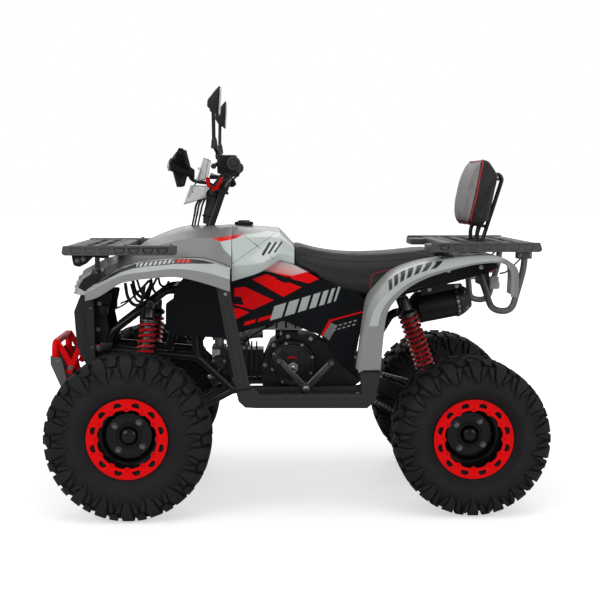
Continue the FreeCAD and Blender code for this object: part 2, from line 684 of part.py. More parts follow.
def chain_solid():
    half_tall, width, y = size("chain_height") / 2, size("chain_width"), size("sprocket_y")
    band = Part.Face(closed_wire(loop_points(half_tall))).cut(Part.Face(closed_wire(loop_points(-half_tall))))
    solid = None
    for low in (y - width / 2, y + width / 2 - 2.5):
        plate = moved(band, 0, low, 0).extrude(Vector(0, 2.5, 0))
        solid = plate if solid is None else solid.fuse(plate)
    joints = loop_points(0)
    for a, b in zip(joints, joints[1:] + joints[:1]):
        count = max(1, round((b - a).Length / (4 * size("chain_pitch"))))
        if count < 2:
            continue
        for k in range(1, count):
            p = a + (b - a) * k / count
            pin = [p + Vector(3 * math.cos(q * math.pi / 2), 0, 3 * math.sin(q * math.pi / 2)) for q in range(4)]
            pin = [Vector(v.x, y - width / 2 + 2, v.z) for v in pin]
            solid = solid.fuse(Part.Face(closed_wire(pin)).extrude(Vector(0, width - 4, 0)))
    return solid


export("chain", computed("chain", chain_solid()))


# Engine: crankcase, forward cylinder with fins, round covers

def engine_solid():
    case = [(-95, 300), (-100, 400), (-70, 470), (-20, 500), (60, 492), (150, 440), (205, 415), (212, 345),
            (150, 300), (60, 288)]
    solid = Part.Face(closed_wire([Vector(x, -66, z) for x, z in case])).extrude(Vector(0, 140, 0))
    solid = solid.fuse(cylinder_y(68, -118, -60, -4, 412))
    solid = solid.fuse(cylinder_y(52, -126, -112, -4, 412))
    solid = solid.fuse(cylinder_y(54, 70, 118, 30, 402))
    solid = solid.fuse(Part.makeBox(120, 88, 84, Vector(-212, -44, 362)))
    for k in range(6):
        solid = solid.fuse(Part.makeBox(6, 124, 112, Vector(-118 - 16 * k, -62, 348)))
    solid = solid.fuse(Part.makeBox(44, 110, 100, Vector(-256, -55, 354)))
    for x in (-60, 120):
        solid = solid.fuse(Part.makeBox(34, 2 * rail_y - 2 * tube_r - 0.6, 24, Vector(x, -rail_y + tube_r + 0.3, 316)))
    slot_low, slot_high = size("sprocket_y") - 16, size("sprocket_y") + 16
    wheel_well = cylinder_y(46, slot_low, slot_high, engine_sprocket.x, engine_sprocket.z)
    path = Part.makeBox(120, slot_high - slot_low, 110, Vector(150, slot_low, 300))
    solid = solid.cut(wheel_well.fuse(path))
    gear = cylinder_y(size("chain_pitch") / 2 / math.sin(math.pi / engine_teeth) - 6, slot_low, slot_high,
                      engine_sprocket.x, engine_sprocket.z)
    return solid.fuse(gear)


export("engine", computed("engine", engine_solid()))
carb = Part.makeCylinder(15, 40, Vector(-234, 0, 454.3), Vector(0, 0, 1))
carb = carb.fuse(Part.makeCylinder(20, 100, Vector(-254, 0, 492), Vector(1, 0, 0)))
carb = carb.fuse(Part.makeBox(44, 60, 40, Vector(-206, -30, 486)))
carb = carb.fuse(Part.makeCylinder(12, 26, Vector(-184, -56, 492), Vector(0, 1, 0)))
carb = carb.fuse(Part.makeCylinder(30, 60, Vector(-156, 0, 504), Vector(1, 0, 0.1)))
carb = carb.fuse(Part.makeBox(130, 110, 90, Vector(-100, -55, 510)))
export("carburettor", computed("carburettor", carb))


# Exhaust on the right: header, muffler with a band and a conical end

def exhaust_solid():
    header = [Vector(-252, 34, 353.7), Vector(-252, 34, 332), Vector(-262, 106, 341), Vector(-226, 138, 346),
              Vector(150, 138, 352), Vector(262, 134, 430), Vector(330, 132, 541), Vector(400, 132, 559)]
    ring = Part.Wire(Part.makeCircle(14, header[0], header[1] - header[0]))
    solid = bent_wire(header, 14.5).makePipeShell([ring], True, False)
    start, axis = Vector(392, 132, 557), Vector(1, 0, 0.19).normalize()
    solid = solid.fuse(Part.makeCone(30, 52, 26, start, axis))
    solid = solid.fuse(Part.makeCylinder(52, 142, start + axis * 25, axis))
    solid = solid.fuse(Part.makeCylinder(54, 12, start + axis * 150, axis))
    solid = solid.fuse(Part.makeCone(52, 30, 38, start + axis * 166, axis))
    return solid.fuse(Part.makeBox(40, 30, 34, Vector(430, 88, 610)))


export("exhaust", computed("exhaust", exhaust_solid()))


# Foot controls

def lever_solid():
    left = [Vector(-47, -200, 434), Vector(36, -200, 346), Vector(114, -200, 424)]
    ring = Part.Wire(Part.makeCircle(6, left[0], left[1] - left[0]))
    solid = bent_wire(left, 18).makePipeShell([ring], True, False)
    solid = solid.fuse(cylinder_y(7, -230, -186, -47, 434))
    solid = solid.fuse(cylinder_y(7, -230, -186, 112, 426))
    return solid.fuse(cylinder_y(7, -212, -66.3, 36, 348))


def pedal_solid():
    right = [Vector(-70, 166, 372), Vector(20, 166, 346), Vector(60, 166, 315)]
    ring = Part.Wire(Part.makeCircle(6, right[0], right[1] - right[0]))
    solid = bent_wire(right, 18).makePipeShell([ring], True, False)
    solid = solid.fuse(Part.makeBox(50, 48, 8, Vector(-96, 158, 372)))
    return solid.fuse(cylinder_y(9, 107.4, 174, 60, 315))


export("foot_levers", computed("foot_levers", Part.makeCompound([lever_solid(), pedal_solid()])))


# Body panels: half sections at stations along X, mirrored across the centre plane

skin, seam = size("skin"), size("seam")

NOSE = [
    # x, then (y, z) of centre, crown, shoulder and side edge
    (-655, (0, 698), (56, 696), (140, 668), (180, 640)),
    (-604, (0, 724), (60, 721), (150, 698), (192, 666)),
    (-565, (0, 738), (62, 735), (155, 716), (198, 690)),
    (-505, (0, 752), (66, 749), (160, 735), (205, 712)),
    (-470, (0, 781), (70, 777), (163, 752), (210, 724)),
    (-437, (0, 800), (73, 795), (167, 772), (215, 734)),
    (-346, (0, 833), (80, 826), (175, 796), (230, 746)),
    (-266, (0, 835), (84, 829), (182, 802), (238, 746)),
    (-190, (0, 839), (86, 833), (188, 799), (242, 720)),
]


def half_shell(points, thick):
    """Closed outline of an open-bottomed skin across both sides."""
    outer = [(-y, z) for y, z in reversed(points[1:])] + list(points)
    inner = []
    for y, z in outer:
        inner.append((y - thick * (1 if y > 1 else -1 if y < -1 else 0), z - thick))
    return outer + list(reversed(inner))


def shell_solid(stations, thick):
    return ruled_solid([[Vector(x, y, z) for y, z in half_shell(points, thick)] for x, *points in stations])


nose = shell_solid(NOSE, skin)
stem_hole = Part.makeCylinder(34, 200, column_foot - column_up * 100, column_up)
export("nose_cowl", computed("nose_cowl", nose.cut(stem_hole)))

FENDER = [
    # x, then (y, z) of shoulder and crease, and the lip's lower edge
    (-604, (360, 664), (412, 657), 634),
    (-565, (372, 690), (420, 676), 646),
    (-505, (378, 726), (424, 706), 683),
    (-470, (380, 738), (425, 714), 692),
    (-437, (382, 746), (426, 718), 697),
    (-346, (384, 755), (427, 727), 703),
    (-266, (384, 750), (427, 718), 686),
    (-190, (382, 724), (425, 697), 660),
]


def fender_section(x, side, shoulder, crease, lip_z):
    inner_y, inner_z = side[0] + seam, side[1]
    outer = [(inner_y, inner_z), shoulder, crease, (crease[0] - 4, lip_z)]
    back = [(crease[0] - 4 - skin, lip_z), (crease[0] - skin, crease[1] - skin), (shoulder[0], shoulder[1] - skin),
            (inner_y, inner_z - skin)]
    return [Vector(x, -y, z) for y, z in outer + back]


nose_side = {x: side for x, _, _, _, side in NOSE}
fender = ruled_solid([fender_section(x, nose_side[x], *rest) for x, *rest in FENDER])
export("front_fenders", computed("front_fenders", Part.makeCompound([fender, flipped(fender)])))

TANK = [
    # x, then (y, z) of centre, crown, shoulder, side and lower edge
    (-189.4, (0, 839), (86, 833), (188, 799), (226, 724), (214, 676)),
    (-106, (0, 834), (84, 826), (180, 805), (214, 730), (204, 702)),
    (-44, (0, 829), (78, 821), (166, 803), (198, 760), (192, 740)),
    (0, (0, 781), (74, 777), (150, 768), (186, 750), (184, 726)),
]
tank = shell_solid(TANK, skin)
cap = Part.makeCylinder(28, 9, Vector(-154, 0, 839.4), Vector(0, 0, 1))
cap = cap.fuse(Part.makeCylinder(20, 54, Vector(-154, 0, 788), Vector(0, 0, 1)))
export("tank_cover", computed("tank_cover", tank.cut(Part.makeCylinder(20.3, 60, Vector(-154, 0, 790), Vector(0, 0, 1)))))
tank_body = Part.makeBox(126, 230, 122.2, Vector(-176, -115, 667.8)).fuse(cap)
export("fuel_tank", computed("fuel_tank", tank_body))

PANEL = [(-337, 683), (-317, 690), (-200, 668), (-106, 698), (-40, 744), (6, 730), (72, 682), (125, 660), (205, 634),
         (216, 571), (183, 430), (201, 366), (140, 420), (82, 507), (37, 523), (-32, 552), (-73, 540), (-171, 516),
         (-210, 500), (-352, 506), (-392, 534), (-391, 606), (-362, 626), (-362, 656)]
panel = side_plate("side_panel", PANEL, "dims.skin", -179.7)
export("side_panels", both_sides("side_panels", panel))

SEAT = [
    # x, then (y, z) of centre, edge, side and bottom
    (0.2, (0, 789), (82, 780), (126, 756), (138, 722)),
    (60, (0, 769), (96, 762), (140, 736), (150, 694)),
    (125, (0, 757), (102, 750), (148, 720), (158, 650)),
    (205, (0, 752), (106, 745), (154, 712), (164, 631)),
    (300, (0, 756), (108, 749), (154, 718), (160, 638.6)),
    (380, (0, 764), (106, 758), (148, 736), (152, 700)),
    (444, (0, 768), (100, 762), (138, 748), (142, 722)),
]
seat = ruled_solid([[Vector(x, y, z) for y, z in
                     [(-y, z) for y, z in reversed(points[1:])] + points] for x, *points in SEAT])
export("seat", computed("seat", seat))

REAR_ARCH = [
    # x, z of the crease, its lean from upright, lip depth, rise, inner y
    (183, 428.4, -90, 60, 6, 330), (212, 571, -78, 44, 8, 240), (232, 620, -66, 38, 12, 180),
    (262, 652, -56, 34, 14, 180), (308, 692, -40, 34, 18, 168), (372, 722, -22, 32, 18, 158),
    (455, 742, -6, 28, 14, 160), (528, 748, 8, 24, 10, 171), (596, 741, 20, 22, 8, 171),
    (616, 722, 52, 26, 5, 250), (623, 698, 82, 24, 3, 250), (622, 652, 92, 20, 2, 250),
]


def arch_section(x, z, lean, lip, rise, inner_y):
    out = Vector(math.sin(math.radians(lean)), 0, math.cos(math.radians(lean)))
    base = Vector(x, 0, z)
    outline = [(inner_y, rise), (345, rise), (415, 0), (412, -lip), (412 - skin, -lip), (412 - skin, -skin),
               (345, rise - skin), (inner_y, rise - skin)]
    return [base + out * n + Vector(0, -y, 0) for y, n in outline]


rear_fender = ruled_solid([arch_section(*row) for row in REAR_ARCH])
export("rear_fenders", computed("rear_fenders", Part.makeCompound([rear_fender, flipped(rear_fender)])))
tail_deck = Part.makeBox(166, 340, skin, Vector(452, -170, 747.2))
tail_deck = tail_deck.fuse(Part.makeBox(6, 220, 104, Vector(605.4, -110, 646)))
export("tail_panel", computed("tail_panel", tail_deck))

GUARD = [(-232, 690), (-192, 699.3), (-186, 636), (-134, 386), (-102, 360), (189, 361), (183, 428), (245, 428),
         (230, 342), (205, 320), (-114, 322), (-165, 324), (-176, 379), (-223, 636)]
guard = side_plate("foot_guard_frame", GUARD, 30, -414)
floor_plate = block("foot_floor", Vector(-150, -386, 326), Vector(190, -176, 332))
left_guard = fused("foot_guard_left", [guard, floor_plate])
export("foot_guards", both_sides("foot_guards", left_guard))


# Racks

def rack_solid(low_x, high_x, low_z, bars):
    half, bar = size("rack_half_width"), size("rack_bar")
    outer = Part.makeBox(high_x - low_x, 2 * half, bar, Vector(low_x, -half, low_z))
    outer = outer.makeFillet(22, [e for e in outer.Edges if abs(e.tangentAt(0).z) > 0.9])
    inner = Part.makeBox(high_x - low_x - 2 * 28, 2 * half - 2 * 40, bar + 2, Vector(low_x + 28, -half + 40, low_z - 1))
    solid = outer.cut(inner)
    for x in bars:
        solid = solid.fuse(Part.makeBox(16, 2 * half - 60, 12, Vector(x, -half + 30, low_z + 5)))
    pockets = round((high_x - low_x - 60) / 44)
    pitch = (high_x - low_x - 60) / pockets
    for k in range(pockets):
        a = low_x + 30 + k * pitch
        outline = [(a + 8, low_z + 5), (a + pitch - 8, low_z + 5), (a + pitch - 2, low_z + 17), (a + 2, low_z + 17)]
        for y in (-half, half - 2.5):
            pocket = Part.Face(closed_wire([Vector(x, y, z) for x, z in outline])).extrude(Vector(0, 2.5, 0))
            solid = solid.cut(pocket)
    return solid


front_rack = rack_solid(-686, -512, 762, (-650, -610, -570))
for side in (-1, 1):
    low_y = -size("rack_half_width") if side < 0 else 255
    front_rack = front_rack.fuse(Part.makeBox(175, 52, 20, Vector(-520, low_y, 768)))
    front_rack = front_rack.fuse(Part.makeCylinder(8, 60, Vector(-604, side * 120, 710.5), Vector(0, 0, 1)))
export("front_rack", computed("front_rack", front_rack))
rear_rack = rack_solid(450, 732, 770, (500, 550, 600, 650))
for side in (-1, 1):
    low_y = -size("rack_half_width") if side < 0 else 170
    rear_rack = rear_rack.fuse(Part.makeBox(60, 137, 18, Vector(397, low_y, 768)))
export("rear_rack", computed("rear_rack", rear_rack))


# Front end: bumper, guard plates, grille and lamps

bumper_y = 136
loop = [Vector(-590, -bumper_y, 302), Vector(-700, -bumper_y, 345), Vector(-734, -bumper_y, 420),
        Vector(-734, -bumper_y, 482)]
loop += [Vector(p.x, -p.y, p.z) for p in reversed(loop)]
bumper_pieces = [pipe("bumper_loop", loop, "bar_radius", 26),
                 rod("bumper_low", Vector(-697, -bumper_y, 346), Vector(-697, bumper_y, 346), "bar_radius")]
STRAP_UP = [(-740, 490), (-722, 490), (-672, 402), (-690, 392)]
STRAP_BACK = [(-704, 390), (-688, 382), (-655, 458), (-590, 458), (-590, 476), (-664, 476)]
for name, outline, y in (("strap_up", STRAP_UP, -133), ("strap_back", STRAP_BACK, -139)):
    strap = side_plate(name, outline, 6, y)
    bumper_pieces += [strap, mirrored(name + "_right", strap)]
for name, low, high in (("foot_high", Vector(-596, -142, 458), Vector(-562, -107.8, 482)),
                        ("foot_low", Vector(-606, -142, 288), Vector(-578, -107.8, 312))):
    foot = block("bumper_" + name, low, high)
    bumper_pieces += [foot, mirrored(f"bumper_{name}_right", foot)]
export("front_bumper", fused("front_bumper", bumper_pieces))
SKID = [(-748, 441), (-748, 417), (-714.3, 338.6), (-711, 340), (-745.3, 418), (-745.3, 441)]
skid = side_plate("bumper_guard", SKID, 300, -150)
export("bumper_guard", skid)
GRILLE = [(-650, 632), (-672, 572), (-672, 545), (-668, 492), (-640, 424), (-592.7, 424), (-585.9, 494), (-618, 522),
          (-604, 632)]
CHEEK = [(-652, 632), (-673, 580), (-666, 475), (-636, 411), (-610, 421), (-612, 602), (-618, 632)]
mask = [side_plate("grille_middle", GRILLE, 208, -104)]
for k, (low_x, high_x, low_z, high_z) in enumerate([(-640, -620, 604, 628), (-646, -626, 424, 440)]):
    mask.append(block(f"grille_rib{k}", Vector(low_x, -150, low_z), Vector(high_x, 150, high_z)))
cheek = side_plate("grille_cheek", CHEEK, 4, -154)
mask += [cheek, mirrored("grille_cheek_right", cheek)]
louvres = [block(f"grille_slot{k}", Vector(-680, -84, 450 + 34 * k), Vector(-650, 84, 462 + 34 * k)) for k in range(4)]
export("front_grille", cut("front_grille", fused("grille_mask", mask), fused("grille_slots", louvres)))
LAMP = [
    # y, then (x, z) round the lens; it passes the nose corner and lies on the fender
    (-60, (-674, 644), (-672.7, 654), (-671, 670), (-669, 684), (-655.4, 690), (-655.4, 682), (-655.4, 668),
     (-655.4, 656), (-655.4, 644)),
    (-190, (-668, 636), (-665.5, 644), (-663, 654), (-661, 662), (-655.4, 666), (-655.4, 660), (-655.4, 652),
     (-655.4, 644), (-655.4, 636)),
    (-204, (-662, 638), (-656, 670), (-638, 694), (-608, 712), (-568, 716), (-568, 690.6), (-604.3, 667.4),
     (-604.3, 655), (-638, 637)),
    (-296, (-642, 642), (-638, 668), (-624, 690), (-602, 704), (-570, 708), (-570, 689.2), (-604.3, 666.6),
     (-604.3, 655), (-620, 641)),
]
lamp = ruled_solid([[Vector(x, y, z) for x, z in points] for y, *points in LAMP])
export("headlamps", computed("headlamps", Part.makeCompound([lamp, flipped(lamp)])))


# Tail: lamp and grab tubes under the rack

tail_lamp = Part.makeBox(22, 150, 34, Vector(611.7, -75, 690))
tail_lamp = tail_lamp.fuse(Part.makeBox(6, 130, 64, Vector(611.7, -65, 640)))
export("tail_lamp", computed("tail_lamp", tail_lamp))
grab_path = [Vector(703, -200, 766), Vector(700, -200, 712), Vector(664, -200, 580), Vector(604, -200, 584),
             Vector(579.85, -113.05, 693.9)]
clamp = block("grab_clamp", Vector(676, -216, 742), Vector(722, -184, 769.7))
export("grab_tubes", both_sides("grab_tubes", fused("grab_left", [pipe("grab_tube", grab_path, "arm_tube_radius", 26), clamp])))


# Backrest: pad on a plate with two flat posts

PAD = [(512, 866), (515, 898), (536, 988), (580, 1047), (598, 1042), (634, 1008), (643, 990), (592, 846), (546, 842)]
pad_body = side_plate("backrest_pad", PAD, "2 * dims.backrest_half_width", -140)
export("backrest_pad", pad_body)
POST = [(578, 793), (606, 793), (662, 985), (645, 993), (594, 846), (578, 838)]
posts = [side_plate(f"post_{n}", POST, 30, y) for n, y in (("left", -75), ("right", 45))]
back_plate = side_plate("back_plate", [(600, 868), (604, 866), (640, 968), (636, 970)], 150, -75)
export("backrest_frame", fused("backrest_frame", posts + [block("post_foot", Vector(562, -90, 787.3), Vector(614, 90, 795))]))


# Handlebar group on the column

bar_seat = on_column(942) + column_up * 8
bar_centre = bar_seat + column_up * (size("bar_radius") + 5)
bar_points = [Vector(-178, -size("grip_y"), 1026), Vector(-186, -200, 1028), Vector(-206, -120, 985)]
bar_points += [Vector(bar_centre.x, -60, bar_centre.z), Vector(bar_centre.x, 60, bar_centre.z)]
bar_points += [Vector(p.x, -p.y, p.z) for p in reversed(bar_points[:3])]
bar = pipe("bar_tube", bar_points, "bar_radius", 36)
clamps = []
for side in (-1, 1):
    low = bar_seat + Vector(0, side * 26 - 11, 0)
    corners = [low - column_back * 18 + column_up * 0.3, low + column_back * 18 + column_up * 0.3,
               low + column_back * 18 + column_up * 32, low - column_back * 18 + column_up * 32]
    clamps.append(computed(f"clamp_{side + 1}", Part.Face(closed_wire(corners)).extrude(Vector(0, 22, 0))))
export("handlebar", fused("handlebar", [bar] + clamps))


def grip_solid():
    start, end = bar_points[0], bar_points[1]
    along = Vector(end - start).normalize()
    solid = Part.makeCylinder(size("grip_radius"), 120, start - along * 4, along)
    solid = solid.fuse(Part.makeCylinder(24, 5, start + along * 112, along))
    return solid.cut(Part.makeCylinder(size("bar_radius") + 0.05, 200, start, along))


def control_solid():
    start, end = bar_points[0], bar_points[1]
    along = Vector(end - start).normalize()
    solid = Part.makeCylinder(20, 46, start + along * 120, along)
    lever = [start + along * 150 + Vector(-14, 0, -4), start + along * 130 + Vector(-44, 0, -8),
             start + along * 4 + Vector(-58, 0, -8)]
    ring = Part.Wire(Part.makeCircle(6, lever[0], lever[1] - lever[0]))
    solid = solid.fuse(bent_wire(lever, 14).makePipeShell([ring], True, False))
    return solid.cut(Part.makeCylinder(size("bar_radius") + 0.05, 200, start, along))


def mirror_solid():
    foot = Vector(-185, -258, 1048.3)
    boss = Part.makeCylinder(8, 16, foot)
    stem = [foot + Vector(0, 0, 12), Vector(-238, -288, 1072), Vector(-238, -330, 1184)]
    ring = Part.Wire(Part.makeCircle(5.5, stem[0], stem[1] - stem[0]))
    solid = bent_wire(stem, 22).makePipeShell([ring], True, False).fuse(boss)
    solid = solid.fuse(Part.makeSphere(10, stem[2]))
    head = [(-70, -44), (-78, 0), (-64, 38), (60, 44), (74, 20), (66, -40)]
    centre, sections = Vector(-218, -345, 1205), []
    for depth, share, drop in ((0, 1, 0), (5, 1.02, 0), (24, 0.62, 3), (36, 0.3, 6)):
        sections.append([centre + Vector(0.06 * v * share - depth, u * share, v * share - drop) for u, v in head])
    return solid.fuse(ruled_solid(sections))


for name, make in (("grips", grip_solid), ("bar_controls", control_solid), ("mirrors", mirror_solid)):
    export(name, computed(name, Part.makeCompound([make(), flipped(make())])))

def pod_arm(root, tip, side):
    """Tapered arm of the lamp pod from a root section to a tip section of (x, y, z)."""
    return ruled_solid([[Vector(x, side * y, z) for x, y, z in section] for section in (root, tip)])


pod = ruled_solid([
    [Vector(-386, y, z) for y, z in ((-44, 1040), (44, 1040), (36, 996), (-36, 996))],
    [Vector(-314, y, z) for y, z in ((-28, 1032), (28, 1032), (24, 1003), (-24, 1003))]])
high_root = [(-384, 24, 1010), (-332, 24, 1012), (-332, 24, 1031), (-384, 24, 1037)]
high_tip = [(-372, 86, 1052), (-346, 86, 1066), (-344, 86, 1084), (-368, 86, 1070)]
low_root = [(-382, 18, 1000), (-334, 18, 1006), (-334, 18, 1018), (-382, 18, 1016)]
low_tip = [(-368, 64, 966), (-346, 64, 972), (-350, 64, 984), (-372, 64, 978)]
for side in (-1, 1):
    pod = pod.fuse([pod_arm(high_root, high_tip, side), pod_arm(low_root, low_tip, side)])
stay_end = on_column(942) - column_back * 22.3 + column_up * 4
stay = pipe("pod_stay", [Vector(-330, 0, 1010), stay_end - column_back * 50, stay_end], "tie_rod_radius", 16)
STRAP = [(-331.7, 926), (-318.4, 955), (-299.7, 985), (-289.2, 1015), (-285, 1015), (-295.5, 985), (-314, 955),
         (-327.5, 926)]
strap = side_plate("screen_strap", STRAP, 24, -12)
export("lamp_pod", fused("lamp_pod", [computed("pod", pod), stay, strap]))
SCREEN = [
    # y, then (x, z) of the foot and the head of the upper and the lower panel
    (-84, (-268, 996), (-262, 1042), (-274, 922), (-272, 952)),
    (-14, (-300.5, 992), (-281, 1048), (-344, 906), (-323, 952)),
    (14, (-300.5, 992), (-281, 1048), (-344, 906), (-323, 952)),
    (84, (-268, 996), (-262, 1042), (-274, 922), (-272, 952)),
]


def screen_panel(foot_at, head_at):
    sections = []
    for y, *points in SCREEN:
        (x0, z0), (x1, z1) = points[foot_at], points[head_at]
        sections.append([Vector(x0, y, z0), Vector(x1, y, z1), Vector(x1 + 3, y, z1), Vector(x0 + 3, y, z0)])
    return ruled_solid(sections)


export("windscreen", computed("windscreen", Part.makeCompound([screen_panel(0, 1), screen_panel(2, 3)])))


# Check and write every piece

doc.recompute()
for obj in doc.Objects:
    if "Invalid" in obj.State or "Error" in obj.State:
        raise RuntimeError(f"{obj.Name} failed: {obj.State}")
os.makedirs("parts", exist_ok=True)
for obj in PARTS:
    if obj.Shape.isNull() or not obj.Shape.isValid():
        raise RuntimeError(f"{obj.Label} has no valid shape")
    obj.Shape.exportStep(f"parts/{obj.Label}.step")
    print(obj.Label, len(obj.Shape.Solids), round(obj.Shape.Volume / 1000))
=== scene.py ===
import json
import math

import bmesh
import bpy
from mathutils import Matrix, Vector
from mathutils.bvhtree import BVHTree

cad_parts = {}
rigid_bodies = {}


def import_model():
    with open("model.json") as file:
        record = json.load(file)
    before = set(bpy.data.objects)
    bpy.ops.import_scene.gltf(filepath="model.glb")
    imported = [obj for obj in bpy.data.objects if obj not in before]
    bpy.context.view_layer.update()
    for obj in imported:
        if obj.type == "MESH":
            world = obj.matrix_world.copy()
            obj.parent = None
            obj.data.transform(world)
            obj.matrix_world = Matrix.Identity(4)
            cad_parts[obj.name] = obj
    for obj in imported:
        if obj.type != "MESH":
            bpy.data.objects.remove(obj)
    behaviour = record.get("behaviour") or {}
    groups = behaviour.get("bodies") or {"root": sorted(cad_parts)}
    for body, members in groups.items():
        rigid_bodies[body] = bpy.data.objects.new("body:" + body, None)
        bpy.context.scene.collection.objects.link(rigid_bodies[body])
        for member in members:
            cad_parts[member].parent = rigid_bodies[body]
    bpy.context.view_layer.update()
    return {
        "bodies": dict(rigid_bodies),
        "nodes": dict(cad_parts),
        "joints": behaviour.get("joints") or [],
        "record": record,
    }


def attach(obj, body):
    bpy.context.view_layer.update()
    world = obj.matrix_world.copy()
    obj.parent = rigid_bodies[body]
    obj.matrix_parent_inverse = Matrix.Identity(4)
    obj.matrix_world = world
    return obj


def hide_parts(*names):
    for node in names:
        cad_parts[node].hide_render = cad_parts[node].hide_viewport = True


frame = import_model()

# Shapes are drawn in millimetres; wheel centres and radii of the front and rear axles
MM = 0.001
FRONT_X, REAR_X = -485.0, 515.0
FRONT_R, REAR_R = 241.5, 229.0


def linked(name, data):
    """New object in the scene."""
    piece = bpy.data.objects.new(name, data)
    bpy.context.scene.collection.objects.link(piece)
    return piece


# Shader sums written as expressions

def feed(tree, socket, value):
    """Gives a socket its value or link."""
    if isinstance(value, Number):
        value = value.socket
    if isinstance(value, bpy.types.NodeSocket):
        tree.links.new(value, socket)
    else:
        socket.default_value = value


def add_node(tree, kind, settings, *inputs, **named):
    """Adds a node: its settings first, then its sockets in order or by name."""
    node = tree.nodes.new(kind)
    for key, value in settings.items():
        setattr(node, key, value)
    for key, value in enumerate(inputs):
        feed(tree, node.inputs[key], value)
    for key, value in named.items():
        feed(tree, node.inputs[key.replace("_", " ")], value)
    return node


class Number:
    """A number that varies over a surface; sums on it add Math nodes."""

    def __init__(self, finish, socket):
        self.finish, self.socket = finish, socket

    def join(self, operation, *others, clamp=False):
        node = self.finish.node("ShaderNodeMath", {"operation": operation, "use_clamp": clamp}, self, *others)
        return Number(self.finish, node.outputs[0])

    def __add__(self, other):
        return self.join("ADD", other)

    __radd__ = __add__

    def __mul__(self, other):
        return self.join("MULTIPLY", other)

    __rmul__ = __mul__

    def __sub__(self, other):
        return self.join("SUBTRACT", other)

    def __rsub__(self, other):
        return (self * -1) + other

    def lowest(self, other):
        return self.join("MINIMUM", other)

    def highest(self, other):
        return self.join("MAXIMUM", other)

    def ramp(self, low, high):
        """0 below low, 1 above high."""
        return self.join("MULTIPLY_ADD", 1 / (high - low), -low / (high - low), clamp=True)

    def size(self):
        return self.join("ABSOLUTE")

    def sine(self):
        return self.join("SINE")

    def fold(self, period):
        """Rises to period and falls back, over and over."""
        return self.join("PINGPONG", period)


class Finish:
    """A node material with one Principled shader."""

    def __init__(self, name, color, roughness, metallic=0.0, **fixed):
        self.material = bpy.data.materials.new(name)
        self.material.use_nodes = True
        self.tree = self.material.node_tree
        self.shader = self.tree.nodes["Principled BSDF"]
        self.color = tuple(color) + (1,)
        for socket, value in {"Base Color": self.color, "Roughness": roughness, "Metallic": metallic, **fixed}.items():
            self.shader.inputs[socket.replace("_", " ")].default_value = value
        self.place = self.node("ShaderNodeTexCoord", {}).outputs["Object"]

    def node(self, kind, settings, *inputs, **named):
        return add_node(self.tree, kind, settings, *inputs, **named)

    def along(self, direction):
        """Distance in metres along a direction."""
        node = self.node("ShaderNodeVectorMath", {"operation": "DOT_PRODUCT"}, self.place, direction)
        return Number(self, node.outputs["Value"])

    def away(self, centre):
        """Distance in metres from a point."""
        node = self.node("ShaderNodeVectorMath", {"operation": "DISTANCE"}, self.place, centre)
        return Number(self, node.outputs["Value"])

    def noise(self, scale, detail=3.0, stretch=None):
        place = self.place
        if stretch:
            place = self.node("ShaderNodeMapping", {}, Vector=place, Scale=stretch).outputs[0]
        node = self.node("ShaderNodeTexNoise", {}, Vector=place, Scale=scale, Detail=detail)
        return Number(self, node.outputs["Fac"])

    def cells(self, scale):
        """Pebbled pattern, as on vinyl."""
        node = self.node("ShaderNodeTexVoronoi", {}, Vector=self.place, Scale=scale)
        return Number(self, node.outputs["Distance"])

    def region(self, corners, soft=0.6):
        """1 inside a convex outline of (x, z) points in millimetres, turned either way round."""
        middle = Vector((sum(p[0] for p in corners), 0, sum(p[1] for p in corners))) / len(corners)
        inside = None
        for (x0, z0), (x1, z1) in zip(corners, corners[1:] + corners[:1]):
            normal = Vector((z0 - z1, 0, x1 - x0)).normalized()
            start = Vector((x0, 0, z0))
            if normal.dot(middle - start) < 0:
                normal = -normal
            depth = self.along(normal) - normal.dot(start) * MM
            inside = depth if inside is None else inside.lowest(depth)
        return inside.ramp(-soft * MM, soft * MM)

    def paint(self, color, mask):
        """Lays a colour over the present one where mask is 1."""
        base = self.shader.inputs["Base Color"]
        under = base.links[0].from_socket if base.is_linked else self.color
        mix = self.node("ShaderNodeMix", {"data_type": "RGBA"}, mask)
        feed(self.tree, mix.inputs[6], under)
        feed(self.tree, mix.inputs[7], tuple(color) + (1,))
        feed(self.tree, base, mix.outputs[2])
        return self

    def set(self, socket, number):
        feed(self.tree, self.shader.inputs[socket], number)
        return self

    def bump(self, height, strength=0.3, distance=0.001):
        normal = self.shader.inputs["Normal"]
        node = self.node("ShaderNodeBump", {}, Height=height, Strength=strength, Distance=distance)
        if normal.is_linked:
            feed(self.tree, node.inputs["Normal"], normal.links[0].from_socket)
        feed(self.tree, normal, node.outputs[0])
        return self

    def grain(self, scale, strength, distance=0.0004, spread=0.08):
        """Fine surface texture, with roughness that varies a little."""
        fine, broad = self.noise(scale, 4.0), self.noise(scale / 40, 3.0)
        rough = self.shader.inputs["Roughness"].default_value
        self.bump(fine, strength, distance)
        return self.set("Roughness", broad * (2 * spread) + (rough - spread))


# Camera, lamps, white surroundings and floor

def make_camera():
    """Camera fitted to the photograph's frame of 600 pixels, its focal length given in pixels."""
    tilt, turn, focal, pixels = 0.0882, 0.0336, 1255.1, 600
    look = Vector((math.sin(turn) * math.cos(tilt), math.cos(turn) * math.cos(tilt), -math.sin(tilt)))
    camera = linked("camera", bpy.data.cameras.new("camera"))
    camera.location = (-0.11024, -3.99618, 0.95317)
    camera.rotation_euler = look.to_track_quat("-Z", "Y").to_euler()
    camera.data.sensor_width = 36
    camera.data.lens = 36 * focal / pixels
    bpy.context.scene.camera = camera


